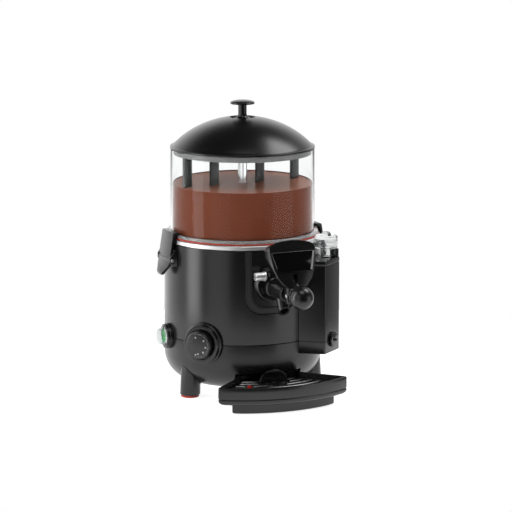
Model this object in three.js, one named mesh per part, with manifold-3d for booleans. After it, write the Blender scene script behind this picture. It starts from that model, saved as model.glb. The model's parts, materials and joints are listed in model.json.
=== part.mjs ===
// Hot chocolate dispenser: a bowl over a water bath, with a stirrer, a spring tap and a drip tray.
// Millimetres, +Z up. The machine stands on z = 0 and its front looks along -Y.
import * as THREE from 'three';
import { mergeVertices } from 'three/addons/utils/BufferGeometryUtils.js';
import Module from 'manifold-3d';

// Clearances and cutting
const seatGap = 0.3; // between pieces that rest on each other
const runGap = 0.6; // between pieces that move past each other
const overrun = 4; // how far a cut runs past what it cuts
const weldDistance = 0.0001; // corners closer than this are one corner

// Facets round a circle, by the size of what is turned
const bodyFacets = 40;
const wideFacets = 32;
const midFacets = 20;
const smallFacets = 14;
const pinFacets = 10;
const arcSteps = 4;

// Body shells
const bodyRadius = 126.2;
const bodyTaper = 1.7;
const bodyTop = 244;
const bodyBottom = 17;
const bottomRound = 46;
const shellWall = 3;
const seamHeight = 93;
const seamBevel = 0.9;
const topLip = 6.5;
const serviceHoleInset = 18.2;
const basePlateThickness = 2;
const basePlateOverlap = 8;

// Legs and their pads
const legRadius = 16.2;
const legInset = 14.4;
const legAzimuth = 70;
const padRadius = 14.6;
const padHeight = 3.6;
const padBevel = 0.8;

// Recess in the upper shell behind the tap
const recessWidth = 84;
const recessDrop = 45;
const recessCorner = 27;
const recessDepth = 1.3;
const recessStep = 10.5;
const recessStepDepth = 2.2;
const recessNotchWidth = 5;

// Product tank with its stirrer tube
const rimInset = 0.5;
const rimHeight = 6.4;
const rimSheet = 1.3;
const rimWidth = 14.5;
const tankWall = 1.5;
const tapRise = 15;
const tubeRadius = 7.5;
const tubeWall = 1.3;
const tubeTop = 371;
const spigotRadius = 9;
const spigotDrop = 32;

// Water jacket, heater and motor
const jacketGap = 5.5;
const jacketWall = 1.2;
const jacketSpace = 26;
const jacketRimWidth = 7;
const heaterInset = 31;
const heaterTube = 4;
const heaterLift = 10;
const heaterGapShare = 0.06;
const terminalRadius = 5;
const terminalDrop = 16;
const gearboxLength = 78;
const gearboxWidth = 54;
const gearboxHeight = 26;
const motorRadius = 27;
const motorHeight = 44;
const shaftSocket = 12;
const shaftRadius = 4;
const bushFlange = 2;
const bushLength = 12;

// Bowl, gasket and chocolate level
const gasketInset = 3;
const gasketHeight = 2;
const bowlFoot = 6;
const bowlWall = 2.6;
const bowlHeight = 135.2;
const bowlFlangeHeight = 4.4;

// Stirrer
const hubRadius = 10;
const hubHeight = 14;
const hubCap = 3;
const barHeight = 8;
const barWidth = 5;
const mixerTurn = 5;
const bladeWidth = 15;
const bladeThickness = 5;
const bladePitch = 32;
const bladeFloorGap = 12;
const outerBladeInset = 12.5;
const innerBlade = 50;
const farInnerBlade = 31;
const farBladeInset = 15.5;
const paddleHeight = 52;
const paddleShare = 1.3;

// Lid
const lidRimLap = 0.3;
const lidRimHeight = 3.4;
const lidRimRound = 1;
const domeTop = 439;
const domeEdgeInset = 3.3;
const domeEdgeShare = 0.7816; // the dome's edge as a share of its ellipse's half width
const dimpleRadius = 21;
const dimpleSlope = 2;
const dimpleDepth = 5.4;
const lidWall = 2.6;
const skirtGap = 1.8;
const skirtWall = 2;
const skirtDrop = 8.6;
const skirtGroove = 1.2;
const knobRadius = 19.6;
const knobTop = 465;
const knobCapHeight = 6.4;
const knobStem = 6.8;
const knobFlare = 15.6;
const knobFlareEdge = 1.2;
const knobFlareHeight = 8.5;
const knobScrewRadius = 2.2;
const knobScrewHead = 5;
const knobScrewLength = 15;

// Thermostat
const dialAzimuth = -50.8;
const dialRise = 0.6;
const bezelRadius = 33.6;
const bezelStepRadius = 31;
const bezelBase = 3.2;
const bezelStand = 8.6;
const sleeveRadius = 12;
const sleeveWall = 2.4;
const sleeveDepth = 11;
const dialRadius = 22.6;
const dialWell = 24;
const dialStand = 17.7;
const dialBack = 4.6;
const dialEdge = 1.6;
const dialShaft = 3;
const thermostatWidth = 34;
const thermostatDepth = 20;

// Rocker switch with its splash cap
const switchAzimuth = -91;
const switchDrop = 1;
const switchRadius = 19.6;
const switchStand = 8;
const switchEdge = 1.4;
const switchBore = 12.1;
const switchSleeve = 1.8;
const switchSleeveDepth = 6;
const rockerRadius = 11.3;
const rockerHeight = 7;
const rockerPivot = 2.4;
const capRise = 12;
const capRadius = 13.4;
const capWall = 1.1;
const capFlange = 16.2;
const switchBlock = 15;
const switchBlockDepth = 22;

// Water filler column
const columnAzimuth = 40;
const columnStand = 35.3;
const columnHalfFace = 25.3;
const columnHalfRoot = 40;
const columnRootDepth = 14;
const columnBottom = 73;
const columnTop = 222;
const collarHeight = 8;
const columnWall = 3;
const columnBevel = 1.6;
const grooveDepth = 0.8;
const grooveHeight = 1.2;
const cupStand = 19.8;
const cupOffset = 7.5;
const cupNeckRadius = 9.6;
const cupNeckHeight = 16;
const cupRadius = 18.2;
const cupHeight = 12.4;
const cupWall = 1.6;
const capHeight = 6.4;
const capDome = 8;
const capDomeHeight = 7;
const capRim = 2.4;
const postWidth = 5.6;
const postDepth = 12.4;
const postHeight = 13.5;
const postInset = 1.2;
const pipeRadius = 5;
const pipeBore = 3.4;
const pipeRise = 8;
const drainRadius = 12;
const drainStand = 4.4;
const drainPinRadius = 2;
const drainPinLength = 4;
const drainStem = 5.4;

// Latches
const latchWidth = 50;
const latchThickness = 4.6;
const latchStand = 15.8;
const latchPivotStand = 4.6;
const latchPivotDrop = 24.5;
const latchPinRadius = 2;
const latchBoss = 3.6;
const latchHookLength = 10.4;
const latchHookHeight = 4;
const latchGrip = 26.5;
const latchTipHalf = 7;
const latchTipRound = 5;
const latchKneeDrop = 8;
const latchTongueRound = 12;
const latchBend = 1.6;
const latchShoulderStand = 0.8;
const latchKneeStand = 8.8;
const earWidth = 3.6;
const earGap = 1;
const earDrop = 10.5;
const earRise = 16.5;
const bracketSheet = 1.4;
const rivetHead = 2.6;
const rivetHeadHeight = 1.2;

// Tap
const tapDrop = 57;
const inletRadius = 10.6;
const inletInset = 2.5;
const sleeveOuter = 13.4;
const sleeveInset = 5.6;
const tapGasketRadius = 15.6;
const tapGasketThickness = 2.4;
const flangeRadius = 21.6;
const flangeThickness = 3.8;
const ringRadius = 25.6;
const ringBaseRadius = 29;
const ringSlope = 8.5;
const ringWall = 3.6;
const ringStand = 4.8;
const ringBore = 18.4;
const ringLip = 2.6;
const ringRise = 2;
const ringLugWidth = 6;
const ringLugHeight = 11;
const ringLugForward = 13;
const barrelBaseRadius = 17;
const barrelRadius = 13.2;
const barrelBaseLength = 12;
const barrelStepRadius = 15.4;
const barrelLength = 60;
const barrelRim = 1.4;
const chamberRadius = 10;
const inletBore = 6.4;
const endCapThickness = 2.6;
const endCapDepth = 5;
const spoutRadius = 9;
const spoutWall = 2.4;
const spoutLean = 30;
const spoutBehind = 33.3;
const spoutMouthDrop = 31;
const spoutMouthTilt = 52;
const clampScrewRadius = 6.7;
const clampScrewLength = 17;
const clampScrewCollar = 3;
const clampScrewSlot = 2.4;
const clampScrewRise = 17;
const clampScrewShank = 2.4;
const clampScrewLeft = 34;

// Plunger inside the tap
const plungerHead = 8.6;
const plungerHeadLength = 6;
const plungerSealThickness = 2;
const plungerStem = 4;
const tongueWidth = 6;
const tongueLength = 14;
const tongueDown = 6.6;
const tongueUp = 9;
const springRadius = 6.8;
const springWire = 0.8;
const springTurns = 6;
const springStepsPerTurn = 7;
const springSides = 4;

// Tap handle
const pivotLength = 17;
const pivotRise = 30;
const pivotPinRadius = 3;
const linkPinRadius = 2.5;
const pinReach = 11;
const riserWidth = 12;
const riserBoss = 6.6;
const riserLength = 15;
const cheekWidth = 3.5;
const cheekSlotGap = 1;
const cheekHalf = 6.4;
const cheekDrop = 12;
const shieldTopBehind = 2;
const shieldRise = 45;
const shieldLean = 17.8;
const shieldHalf = 37.7;
const shieldLength = 64;
const shieldArch = 11.5;
const shieldWall = 3;
const shieldDepth = 21;
const shieldShallow = 6.4;
const shieldFoot = 7.5;
const shieldSideShares = [[1, 0.02], [0.96, 0.26], [0.88, 0.52], [0.7, 0.78], [0.44, 0.94]];
const shieldSlotWidth = 8;
const shieldSlotLength = 17;
const shieldSlotDrop = 49;
const labelDrop = 6.2;
const labelHeight = 31.5;
const labelHalfTop = 36.2;
const labelHalfBottom = 29.2;
const labelThickness = 1.6;
const ballRadius = 18.3;
const ballLength = 37;
const ballRise = 3.2;
const ballNeck = 5.6;
const studRadius = 3;
const studDepth = 10;

// Drip tray
const trayStand = 77.8;
const trayCornerX = 110;
const trayBackInset = 22.2;
const trayBackHalf = 52;
const trayRim = 43;
const trayTierBottom = 14.8;
const trayWall = 3;
const trayFloorThickness = 2.6;
const trayCornerRound = 3.5;
const trayArcSteps = 13;
const trayRimBevel = 1;
const trayUnderRound = 7.5;
const trayLineHeight = 24;
const trayLineDepth = 0.7;
const standHalf = 85;
const standInset = 10;
const standFlank = 24;
const tabRadius = 25;
const tabTop = 55;
const tabInset = 71;
const tabThickness = 2.6;
const pocketHeight = 47.4;
const pocketGap = 3.4;
const pocketBackGap = 0.8;

// Drip grille and float
const grilleTop = 33;
const grilleThickness = 3;
const grilleLedge = 3;
const grilleFrame = 5;
const slotPitch = 15;
const slotWidth = 10;
const slotRows = 6;
const slotInset = 12;
const ribWidth = 4.4;
const bossRadius = 14;
const bossInset = 58;
const bossRise = 1.6;
const ribAzimuths = [-37, -18, 0, 18, 37];
const ribFar = 60;
const floatAzimuth = -17.6;
const floatInset = 47.5;
const floatStem = 3.2;
const floatTop = 36.2;
const floatDisc = 8.4;
const floatDiscHeight = 5;
const floatEye = 6.3;
const floatBossWall = 2.6;

// Cable gland at the back
const glandAzimuth = 180;
const glandRise = 15;
const glandRadius = 9;
const glandStand = 5;
const glandNose = 4.6;
const glandNoseRadius = 6.4;
const glandBore = 3.6;
const glandThread = 6;

// Radii that follow the body's
const bodyTopRadius = bodyRadius - bodyTaper;
const serviceHoleRadius = bodyRadius - bottomRound - serviceHoleInset;
const legCircle = bodyRadius - legInset;
const rimRadius = bodyTopRadius - rimInset;
const tankRadius = rimRadius - rimWidth;
const jacketRadius = tankRadius + jacketGap;
const heaterRadius = jacketRadius - heaterInset;
const gasketRadius = rimRadius - gasketInset;
const bowlFlangeRadius = gasketRadius;
const bowlRadius = bowlFlangeRadius - bowlFoot;
const outerBlade = tankRadius - outerBladeInset;
const farOuterBlade = tankRadius - farBladeInset;
const lidRimRadius = bowlRadius + lidRimLap;
const domeEdge = lidRimRadius - domeEdgeInset;
const skirtRadius = bowlRadius - bowlWall - skirtGap;

// Reaches from the machine's axis that follow the body's radius
const capReach = bodyRadius + switchStand + capRise;
const columnReach = bodyRadius + columnStand;
const cupCentre = bodyRadius + cupStand;
const latchReach = bodyRadius + latchStand;
const latchPivotReach = bodyRadius + latchPivotStand;
const latchShoulderReach = bodyRadius + latchShoulderStand;
const latchKneeReach = bodyRadius + latchKneeStand;
const inletEnd = tankRadius - inletInset;
const sleeveEnd = bodyRadius - sleeveInset;
const ringFront = bodyRadius + ringStand;
const clampScrewForward = ringFront + clampScrewRadius + padBevel + runGap;
const barrelBase = ringFront + barrelBaseLength;
const barrelEnd = ringFront + barrelLength;
const spoutStart = barrelEnd - spoutBehind;
const riserBack = barrelEnd - riserLength;
const pivotForward = barrelEnd + pivotLength;
const shieldTopForward = pivotForward - shieldTopBehind;
const ballForward = pivotForward + ballLength;
const trayRadius = bodyRadius + trayStand;
const trayBack = bodyRadius - trayBackInset;
const standRadius = trayRadius - standInset;
const tabFront = trayRadius - tabInset;
const slotOuter = trayRadius - slotInset;
const bossForward = trayRadius - bossInset;
const floatDistance = trayRadius - floatInset;
const floatBossRadius = floatEye + floatBossWall;

// Heights worked out from the sizes above
const tapHeight = bodyTop - tapDrop;
const tankFloor = tapHeight - tapRise;
const jacketFloor = tankFloor - jacketSpace;
const recessBottom = tapHeight - recessDrop;
const shieldTopHeight = tapHeight + pivotRise + shieldRise;
const glandHeight = bodyBottom + bottomRound + glandRise;
const dialHeight = seamHeight + dialRise;
const switchHeight = seamHeight - switchDrop;
const latchPivotHeight = bodyTop - latchPivotDrop;
const latchKneeHeight = latchPivotHeight - latchKneeDrop;
const latchTip = latchPivotHeight - latchGrip;
const earBottom = latchPivotHeight - earDrop;
const earTop = latchPivotHeight + earRise;
const rimTop = bodyTop + seatGap + rimHeight;
const gasketBottom = rimTop + seatGap;
const gasketTop = gasketBottom + gasketHeight;
const bowlBottom = gasketTop + seatGap;
const bowlTop = bowlBottom + bowlHeight;
const lidBottom = bowlTop + seatGap;
const hubBottom = tubeTop + seatGap * 2 + bushFlange;
const tankInnerFloor = tankFloor;
const spigotBottom = tankFloor - tankWall - spigotDrop;
const knobSeat = domeTop - dimpleDepth;
const glandReach = bodyRadius + glandStand + glandNose;
const handleReach = ballForward + ballRadius;
const capSideReach = capReach * Math.sin(THREE.MathUtils.degToRad(-switchAzimuth));

const wasm = await Module();
wasm.setup();

// A closed solid from a three.js geometry, with its faces turned outwards
function solidFrom(geometry) {
  const bare = geometry.clone();
  bare.deleteAttribute('normal');
  bare.deleteAttribute('uv');
  const merged = mergeVertices(bare, weldDistance);
  const corners = merged.attributes.position.array;
  const triangles = [];
  for (let i = 0; i < merged.index.count; i += 3) {
    const [a, b, c] = [0, 1, 2].map((step) => merged.index.getX(i + step));
    if (a !== b && b !== c && c !== a) triangles.push([a, b, c]);
  }
  if (signedVolume(corners, triangles) < 0) triangles.forEach((triangle) => triangle.reverse());
  const mesh = new wasm.Mesh({
    numProp: 3,
    vertProperties: new Float32Array(corners),
    triVerts: new Uint32Array(triangles.flat()),
  });
  return new wasm.Manifold(mesh);
}

function signedVolume(corners, triangles) {
  const [a, b, c] = [new THREE.Vector3(), new THREE.Vector3(), new THREE.Vector3()];
  let sum = 0;
  for (const [i, j, k] of triangles) {
    a.fromArray(corners, i * 3);
    b.fromArray(corners, j * 3);
    c.fromArray(corners, k * 3);
    sum += a.dot(b.cross(c));
  }
  return sum;
}

function geometryFrom(solid) {
  const { vertProperties, triVerts } = solid.getMesh();
  const geometry = new THREE.BufferGeometry();
  geometry.setAttribute('position', new THREE.BufferAttribute(new Float32Array(vertProperties), 3));
  geometry.setIndex(new THREE.BufferAttribute(new Uint32Array(triVerts), 1));
  return geometry;
}

// The same solid moved by a matrix
function moved(solid, matrix) {
  return solidFrom(geometryFrom(solid).applyMatrix4(matrix));
}

function joined(...solids) {
  return solids.reduce((sum, solid) => sum.add(solid));
}

const degrees = THREE.MathUtils.degToRad;
const shift = (x, y, z) => new THREE.Matrix4().makeTranslation(x, y, z);
const spinZ = (angle) => new THREE.Matrix4().makeRotationZ(degrees(angle));
const tiltX = (angle) => new THREE.Matrix4().makeRotationX(degrees(angle));

// A turned solid: radius and height pairs, revolved about Z; an open profile starts and ends at radius 0
function turned(profile, facets) {
  const points = profile.map(([radius, height]) => new THREE.Vector2(radius, height));
  if (profile[0][0] > 0) points.push(points[0].clone());
  const geometry = new THREE.LatheGeometry(points, facets);
  geometry.rotateX(Math.PI / 2);
  return solidFrom(geometry);
}

// The same with its axis along -Y: the second number of each pair is the distance forwards
function turnedForward(profile, facets) {
  return moved(turned(profile, facets), tiltX(90));
}

function arcPoints(centreX, centreY, radiusX, radiusY, from, to, steps) {
  const points = [];
  for (let i = 0; i <= steps; i += 1) {
    const angle = degrees(from + ((to - from) * i) / steps);
    points.push([centreX + radiusX * Math.cos(angle), centreY + radiusY * Math.sin(angle)]);
  }
  return points;
}

// A closed outline whose corners are rounded: each corner is x, y and its radius
function roundedShape(corners) {
  const shape = new THREE.Shape();
  corners.forEach(([x, y, radius], i) => {
    const before = corners[(i + corners.length - 1) % corners.length];
    const after = corners[(i + 1) % corners.length];
    const corner = new THREE.Vector2(x, y);
    const inward = new THREE.Vector2(before[0] - x, before[1] - y);
    const outward = new THREE.Vector2(after[0] - x, after[1] - y);
    const half = Math.acos(inward.dot(outward) / (inward.length() * outward.length())) / 2;
    const reach = radius / Math.tan(half);
    const start = corner.clone().addScaledVector(inward.normalize(), reach);
    const end = corner.clone().addScaledVector(outward.normalize(), reach);
    if (i === 0) shape.moveTo(start.x, start.y);
    else shape.lineTo(start.x, start.y);
    if (radius > 0) shape.quadraticCurveTo(x, y, end.x, end.y);
  });
  return shape;
}

function outline(points) {
  return new THREE.Shape(points.map(([x, y]) => new THREE.Vector2(x, y)));
}

// Extrusions: up from a plan, across from a side outline of y and z, and along Y from x and z
function raised(shape, bottom, top, steps = arcSteps) {
  const geometry = new THREE.ExtrudeGeometry(shape, {
    depth: top - bottom,
    bevelEnabled: false,
    curveSegments: steps,
  });
  geometry.translate(0, 0, bottom);
  return solidFrom(geometry);
}

function across(shape, left, right, steps = arcSteps) {
  const basis = new THREE.Matrix4().makeBasis(
    new THREE.Vector3(0, 1, 0),
    new THREE.Vector3(0, 0, 1),
    new THREE.Vector3(1, 0, 0),
  );
  return moved(raised(shape, left, right, steps), basis);
}

function forward(shape, near, far, steps = arcSteps) {
  return moved(raised(shape, near, far, steps), tiltX(90));
}

function block(left, right, front, back, bottom, top) {
  const geometry = new THREE.BoxGeometry(right - left, back - front, top - bottom);
  geometry.translate((left + right) / 2, (front + back) / 2, (bottom + top) / 2);
  return solidFrom(geometry);
}

// A round rod between two points
function rod(radius, from, to, facets = pinFacets) {
  const start = new THREE.Vector3(...from);
  const end = new THREE.Vector3(...to);
  const axis = end.clone().sub(start);
  const geometry = new THREE.CylinderGeometry(radius, radius, axis.length(), facets);
  geometry.applyQuaternion(
    new THREE.Quaternion().setFromUnitVectors(new THREE.Vector3(0, 1, 0), axis.normalize()),
  );
  const middle = start.add(end).divideScalar(2);
  geometry.translate(middle.x, middle.y, middle.z);
  return solidFrom(geometry);
}

const group = new THREE.Group();
const machine = new THREE.Group();
group.add(machine);

const finishes = {
  satinBlack: { color: 0x232323, roughness: 0.42, metalness: 0 },
  glossBlack: { color: 0x0c0c0c, roughness: 0.12, metalness: 0 },
  steel: { color: 0xc9cacb, roughness: 0.22, metalness: 1 },
  clear: { color: 0xf2f6f6, roughness: 0.04, metalness: 0, transparent: true, opacity: 0.3 },
  silicone: { color: 0xd2452a, roughness: 0.55, metalness: 0 },
  greyPlastic: { color: 0x6d7072, roughness: 0.4, metalness: 0 },
  green: { color: 0x2fae4f, roughness: 0.3, metalness: 0 },
  red: { color: 0xd8281f, roughness: 0.35, metalness: 0 },
  bronze: { color: 0x9a6a3c, roughness: 0.4, metalness: 1 },
};

function place(name, solid, finish, parent = machine) {
  const mesh = new THREE.Mesh(geometryFrom(solid), new THREE.MeshStandardMaterial(finishes[finish]));
  mesh.name = name;
  parent.add(mesh);
  return mesh;
}

// A group whose own -Y looks outwards from the machine at this azimuth
function sideGroup(azimuth) {
  const side = new THREE.Group();
  side.rotation.z = degrees(azimuth);
  machine.add(side);
  return side;
}

// The upper body's radius at a height: it narrows from the seam to its top
function wallAt(height) {
  return bodyRadius - (bodyTaper * (height - seamHeight)) / (bodyTop - seamHeight);
}

// The outside of the body, grown or shrunk all round
function bodySolid(growth) {
  const centre = bodyRadius - bottomRound;
  const radius = bottomRound + growth;
  return turned(
    [
      [0, bodyBottom - growth],
      ...arcPoints(centre, bodyBottom + bottomRound, radius, radius, -90, 0, arcSteps),
      [bodyRadius + growth, seamHeight],
      [bodyTopRadius + growth, bodyTop],
      [0, bodyTop],
    ],
    bodyFacets,
  );
}

// A drum about the machine's axis, for cutting pieces to the body's curve
function drum(radius, bottom, top, facets = bodyFacets) {
  return turned([[0, bottom], [radius, bottom], [radius, top], [0, top]], facets);
}

// Round holes for what passes through the shells
function shellHoles() {
  const holes = [
    [dialAzimuth, dialHeight, sleeveRadius + seatGap],
    [switchAzimuth, switchHeight, switchBore + switchSleeve + seatGap],
    [glandAzimuth, glandHeight, glandThread + seatGap],
    [columnAzimuth, jacketFloor + pipeRise, pipeRadius + seatGap],
  ];
  const cuts = holes.map(([azimuth, height, radius]) => {
    const cut = rod(radius, [0, -jacketRadius, height], [0, -bodyRadius - overrun, height], midFacets);
    return moved(cut, spinZ(azimuth));
  });
  return joined(...cuts);
}

function lowerShell() {
  const top = seamHeight - seatGap / 2;
  const centre = bodyRadius - bottomRound;
  const arcHeight = bodyBottom + bottomRound;
  const innerRound = bottomRound - shellWall;
  const shell = turned(
    [
      [serviceHoleRadius, bodyBottom],
      ...arcPoints(centre, arcHeight, bottomRound, bottomRound, -90, 0, arcSteps),
      [bodyRadius, top - seamBevel],
      [bodyRadius - seamBevel, top],
      [bodyRadius - shellWall, top],
      ...arcPoints(centre, arcHeight, innerRound, innerRound, 0, -90, arcSteps),
      [serviceHoleRadius, bodyBottom + shellWall],
    ],
    bodyFacets,
  );
  const half = trayBackHalf + pocketGap;
  const back = trayBack - pocketBackGap;
  const walls = block(
    -half - shellWall,
    half + shellWall,
    -bodyRadius - overrun,
    -back + shellWall,
    0,
    pocketHeight + shellWall,
  ).intersect(bodySolid(0));
  const pocket = block(-half, half, -bodyRadius - overrun, -back, -overrun, pocketHeight);
  return shell.add(walls).subtract(pocket).subtract(shellHoles());
}

function recessShape(inset) {
  const half = recessWidth / 2 - inset;
  const bottom = recessBottom + inset;
  const corner = recessCorner - inset / 2;
  const top = bodyTop + overrun * 2;
  return roundedShape([
    [-half, bottom, corner],
    [half, bottom, corner],
    [half, top, 0],
    [-half, top, 0],
  ]);
}

function upperShell() {
  const bottom = seamHeight + seatGap / 2;
  const shell = turned(
    [
      [bodyRadius - seamBevel, bottom],
      [bodyRadius, bottom + seamBevel],
      [bodyTopRadius, bodyTop - seamBevel],
      [bodyTopRadius - seamBevel, bodyTop],
      [bodyTopRadius - topLip, bodyTop],
      [bodyTopRadius - topLip, bodyTop - shellWall],
      [bodyTopRadius - shellWall, bodyTop - shellWall],
      [bodyRadius - shellWall, bottom],
    ],
    bodyFacets,
  );
  const depth = recessDepth + recessStepDepth;
  const reach = bodyRadius + overrun;
  const backing = forward(recessShape(-shellWall), 0, bodyRadius)
    .intersect(drum(bodyTopRadius - shellWall / 2, recessBottom - shellWall, bodyTop))
    .subtract(drum(bodyTopRadius - depth - shellWall, 0, bodyTop + overrun));
  const outer = forward(recessShape(0), 0, reach).subtract(drum(bodyTopRadius - recessDepth, 0, reach * 2));
  const inner = forward(recessShape(recessStep), 0, reach).subtract(
    drum(bodyTopRadius - depth, 0, reach * 2),
  );
  const notch = block(
    -recessNotchWidth / 2,
    recessNotchWidth / 2,
    -reach,
    0,
    recessBottom,
    recessBottom + recessStep + seatGap,
  ).subtract(drum(bodyTopRadius - depth, 0, reach));
  const tapHole = rod(tapGasketRadius + runGap, [0, 0, tapHeight], [0, -reach, tapHeight], midFacets);
  return shell.add(backing).subtract(joined(outer, inner, notch, tapHole, shellHoles()));
}

function basePlate() {
  const bottom = bodyBottom + shellWall + seatGap;
  return turned(
    [
      [0, bottom],
      [serviceHoleRadius + basePlateOverlap, bottom],
      [serviceHoleRadius + basePlateOverlap, bottom + basePlateThickness],
      [0, bottom + basePlateThickness],
    ],
    midFacets,
  );
}

function leg(azimuth) {
  const bottom = padHeight + seatGap;
  const stub = turned(
    [
      [0, bottom],
      [legRadius - padBevel, bottom],
      [legRadius, bottom + padBevel],
      [legRadius, bodyBottom + bottomRound],
      [0, bodyBottom + bottomRound],
    ],
    midFacets,
  );
  const body = moved(bodySolid(seatGap), spinZ(-azimuth));
  return moved(moved(stub, shift(0, -legCircle, 0)).subtract(body), shift(0, legCircle, 0));
}

function footPad() {
  return turned(
    [
      [0, 0],
      [padRadius - padBevel, 0],
      [padRadius, padBevel],
      [padRadius, padHeight],
      [0, padHeight],
    ],
    smallFacets,
  );
}

function buildBody() {
  place('lower_shell', lowerShell(), 'satinBlack');
  place('upper_shell', upperShell(), 'satinBlack');
  place('base_plate', basePlate(), 'steel');
  const legs = [
    ['front_left', -legAzimuth],
    ['front_right', legAzimuth],
    ['rear', 180],
  ];
  for (const [side, azimuth] of legs) {
    const corner = sideGroup(azimuth);
    place(`leg_${side}`, leg(azimuth), 'satinBlack', corner).position.y = -legCircle;
    place(`foot_pad_${side}`, footPad(), 'silicone', corner).position.y = -legCircle;
  }
}

function productTank() {
  const skirtBottom = bodyTop + seatGap;
  const floorBottom = tankFloor - tankWall;
  const bore = tubeRadius - tubeWall;
  const pan = turned(
    [
      [bore, tubeTop],
      [tubeRadius, tubeTop],
      [tubeRadius, tankInnerFloor],
      [tankRadius, tankInnerFloor],
      [tankRadius, rimTop],
      [rimRadius - rimSheet, rimTop],
      [rimRadius, rimTop - rimSheet],
      [rimRadius, skirtBottom],
      [rimRadius - rimSheet, skirtBottom],
      [rimRadius - rimSheet, rimTop - rimSheet],
      [tankRadius + tankWall, rimTop - rimSheet],
      [tankRadius + tankWall, floorBottom],
      [spigotRadius, floorBottom],
      [spigotRadius, spigotBottom],
      [bore, spigotBottom],
    ],
    wideFacets,
  );
  const sleeve = rod(sleeveOuter, [0, -tankRadius - tankWall / 2, tapHeight], [0, -sleeveEnd, tapHeight], midFacets);
  const sleeveBore = rod(inletRadius + seatGap, [0, -inletEnd + overrun, tapHeight], [0, -bodyRadius, tapHeight], midFacets);
  return pan.add(sleeve).subtract(sleeveBore);
}

function waterJacket() {
  const rim = bodyTop + seatGap;
  const outer = jacketRadius + jacketWall;
  const jacket = turned(
    [
      [spigotRadius + seatGap, jacketFloor],
      [jacketRadius, jacketFloor],
      [jacketRadius, rim + jacketWall],
      [jacketRadius + jacketRimWidth, rim + jacketWall],
      [jacketRadius + jacketRimWidth, rim],
      [outer, rim],
      [outer, jacketFloor - jacketWall],
      [spigotRadius + seatGap, jacketFloor - jacketWall],
    ],
    midFacets,
  );
  const tapHole = rod(sleeveOuter + seatGap, [0, -tankRadius, tapHeight], [0, -bodyRadius, tapHeight], midFacets);
  return jacket.subtract(tapHole).subtract(terminals(terminalRadius + seatGap)).subtract(feedHole());
}

function feedHole() {
  const height = jacketFloor + pipeRise;
  const hole = rod(pipeRadius + seatGap, [0, -tankRadius, height], [0, -bodyRadius, height], midFacets);
  return moved(hole, spinZ(columnAzimuth));
}

function heaterAngles() {
  return [heaterGapShare / 2, 1 - heaterGapShare / 2].map((share) => share * Math.PI * 2);
}

function terminals(radius) {
  const [start, end] = heaterAngles();
  const height = jacketFloor + heaterLift;
  const stubs = [start, end].map((angle) => {
    const [x, y] = [heaterRadius * Math.cos(angle), heaterRadius * Math.sin(angle)];
    return rod(radius, [x, y, height - heaterLift - terminalDrop], [x, y, height]);
  });
  return joined(...stubs);
}

class RingPath extends THREE.Curve {
  constructor(radius, height, start, end) {
    super();
    Object.assign(this, { radius, height, start, end });
  }

  getPoint(t) {
    const angle = this.start + (this.end - this.start) * t;
    return new THREE.Vector3(this.radius * Math.cos(angle), this.radius * Math.sin(angle), this.height);
  }
}

function heatingElement() {
  const [start, end] = heaterAngles();
  const section = new THREE.Shape().absarc(0, 0, heaterTube, 0, Math.PI * 2);
  const ring = new THREE.ExtrudeGeometry(section, {
    steps: smallFacets,
    curveSegments: arcSteps - 1,
    extrudePath: new RingPath(heaterRadius, jacketFloor + heaterLift, start, end),
  });
  return solidFrom(ring).add(terminals(terminalRadius));
}

function gearMotor() {
  const top = jacketFloor - jacketWall - seatGap;
  const bottom = top - gearboxHeight;
  const gearbox = block(
    -gearboxLength / 2,
    gearboxLength / 2,
    -gearboxWidth / 2,
    gearboxWidth / 2,
    bottom,
    top,
  );
  const can = rod(motorRadius, [0, 0, bottom - motorHeight], [0, 0, bottom + overrun], smallFacets);
  const spigotWell = rod(spigotRadius + seatGap, [0, 0, spigotBottom - seatGap], [0, 0, top + overrun], smallFacets);
  const socket = rod(shaftRadius + seatGap, [0, 0, spigotBottom - shaftSocket], [0, 0, top + overrun]);
  return gearbox.add(can).subtract(spigotWell).subtract(socket);
}

function shaftBush() {
  const bottom = tubeTop - bushLength;
  const flangeBottom = tubeTop + seatGap;
  const bore = shaftRadius + seatGap;
  const outer = tubeRadius - tubeWall - seatGap;
  return turned(
    [
      [bore, bottom],
      [outer, bottom],
      [outer, flangeBottom],
      [tubeRadius, flangeBottom],
      [tubeRadius, flangeBottom + bushFlange],
      [bore, flangeBottom + bushFlange],
    ],
    smallFacets,
  );
}

function buildInside() {
  place('product_tank', productTank(), 'steel');
  place('water_jacket', waterJacket(), 'steel');
  place('heating_element', heatingElement(), 'steel');
  place('gear_motor', gearMotor(), 'greyPlastic');
  place('shaft_bush', shaftBush(), 'bronze');
}

function tankGasket() {
  return turned(
    [
      [tankRadius + tankWall, gasketBottom],
      [gasketRadius, gasketBottom],
      [gasketRadius, gasketTop],
      [tankRadius + tankWall, gasketTop],
    ],
    wideFacets,
  );
}

function bowl() {
  const inner = bowlRadius - bowlWall;
  return turned(
    [
      [inner, bowlBottom],
      [bowlFlangeRadius, bowlBottom],
      [bowlFlangeRadius, bowlBottom + bowlFlangeHeight],
      [bowlRadius, bowlBottom + bowlFlangeHeight],
      [bowlRadius, bowlTop],
      [inner, bowlTop],
    ],
    bodyFacets,
  );
}

function buildBowl() {
  place('tank_gasket', tankGasket(), 'silicone');
  place('bowl', bowl(), 'clear');
}

function driveShaft() {
  const bottom = spigotBottom - shaftSocket + seatGap;
  const top = hubBottom + hubHeight - hubCap - seatGap;
  return rod(shaftRadius, [0, 0, bottom], [0, 0, top]);
}

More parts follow.
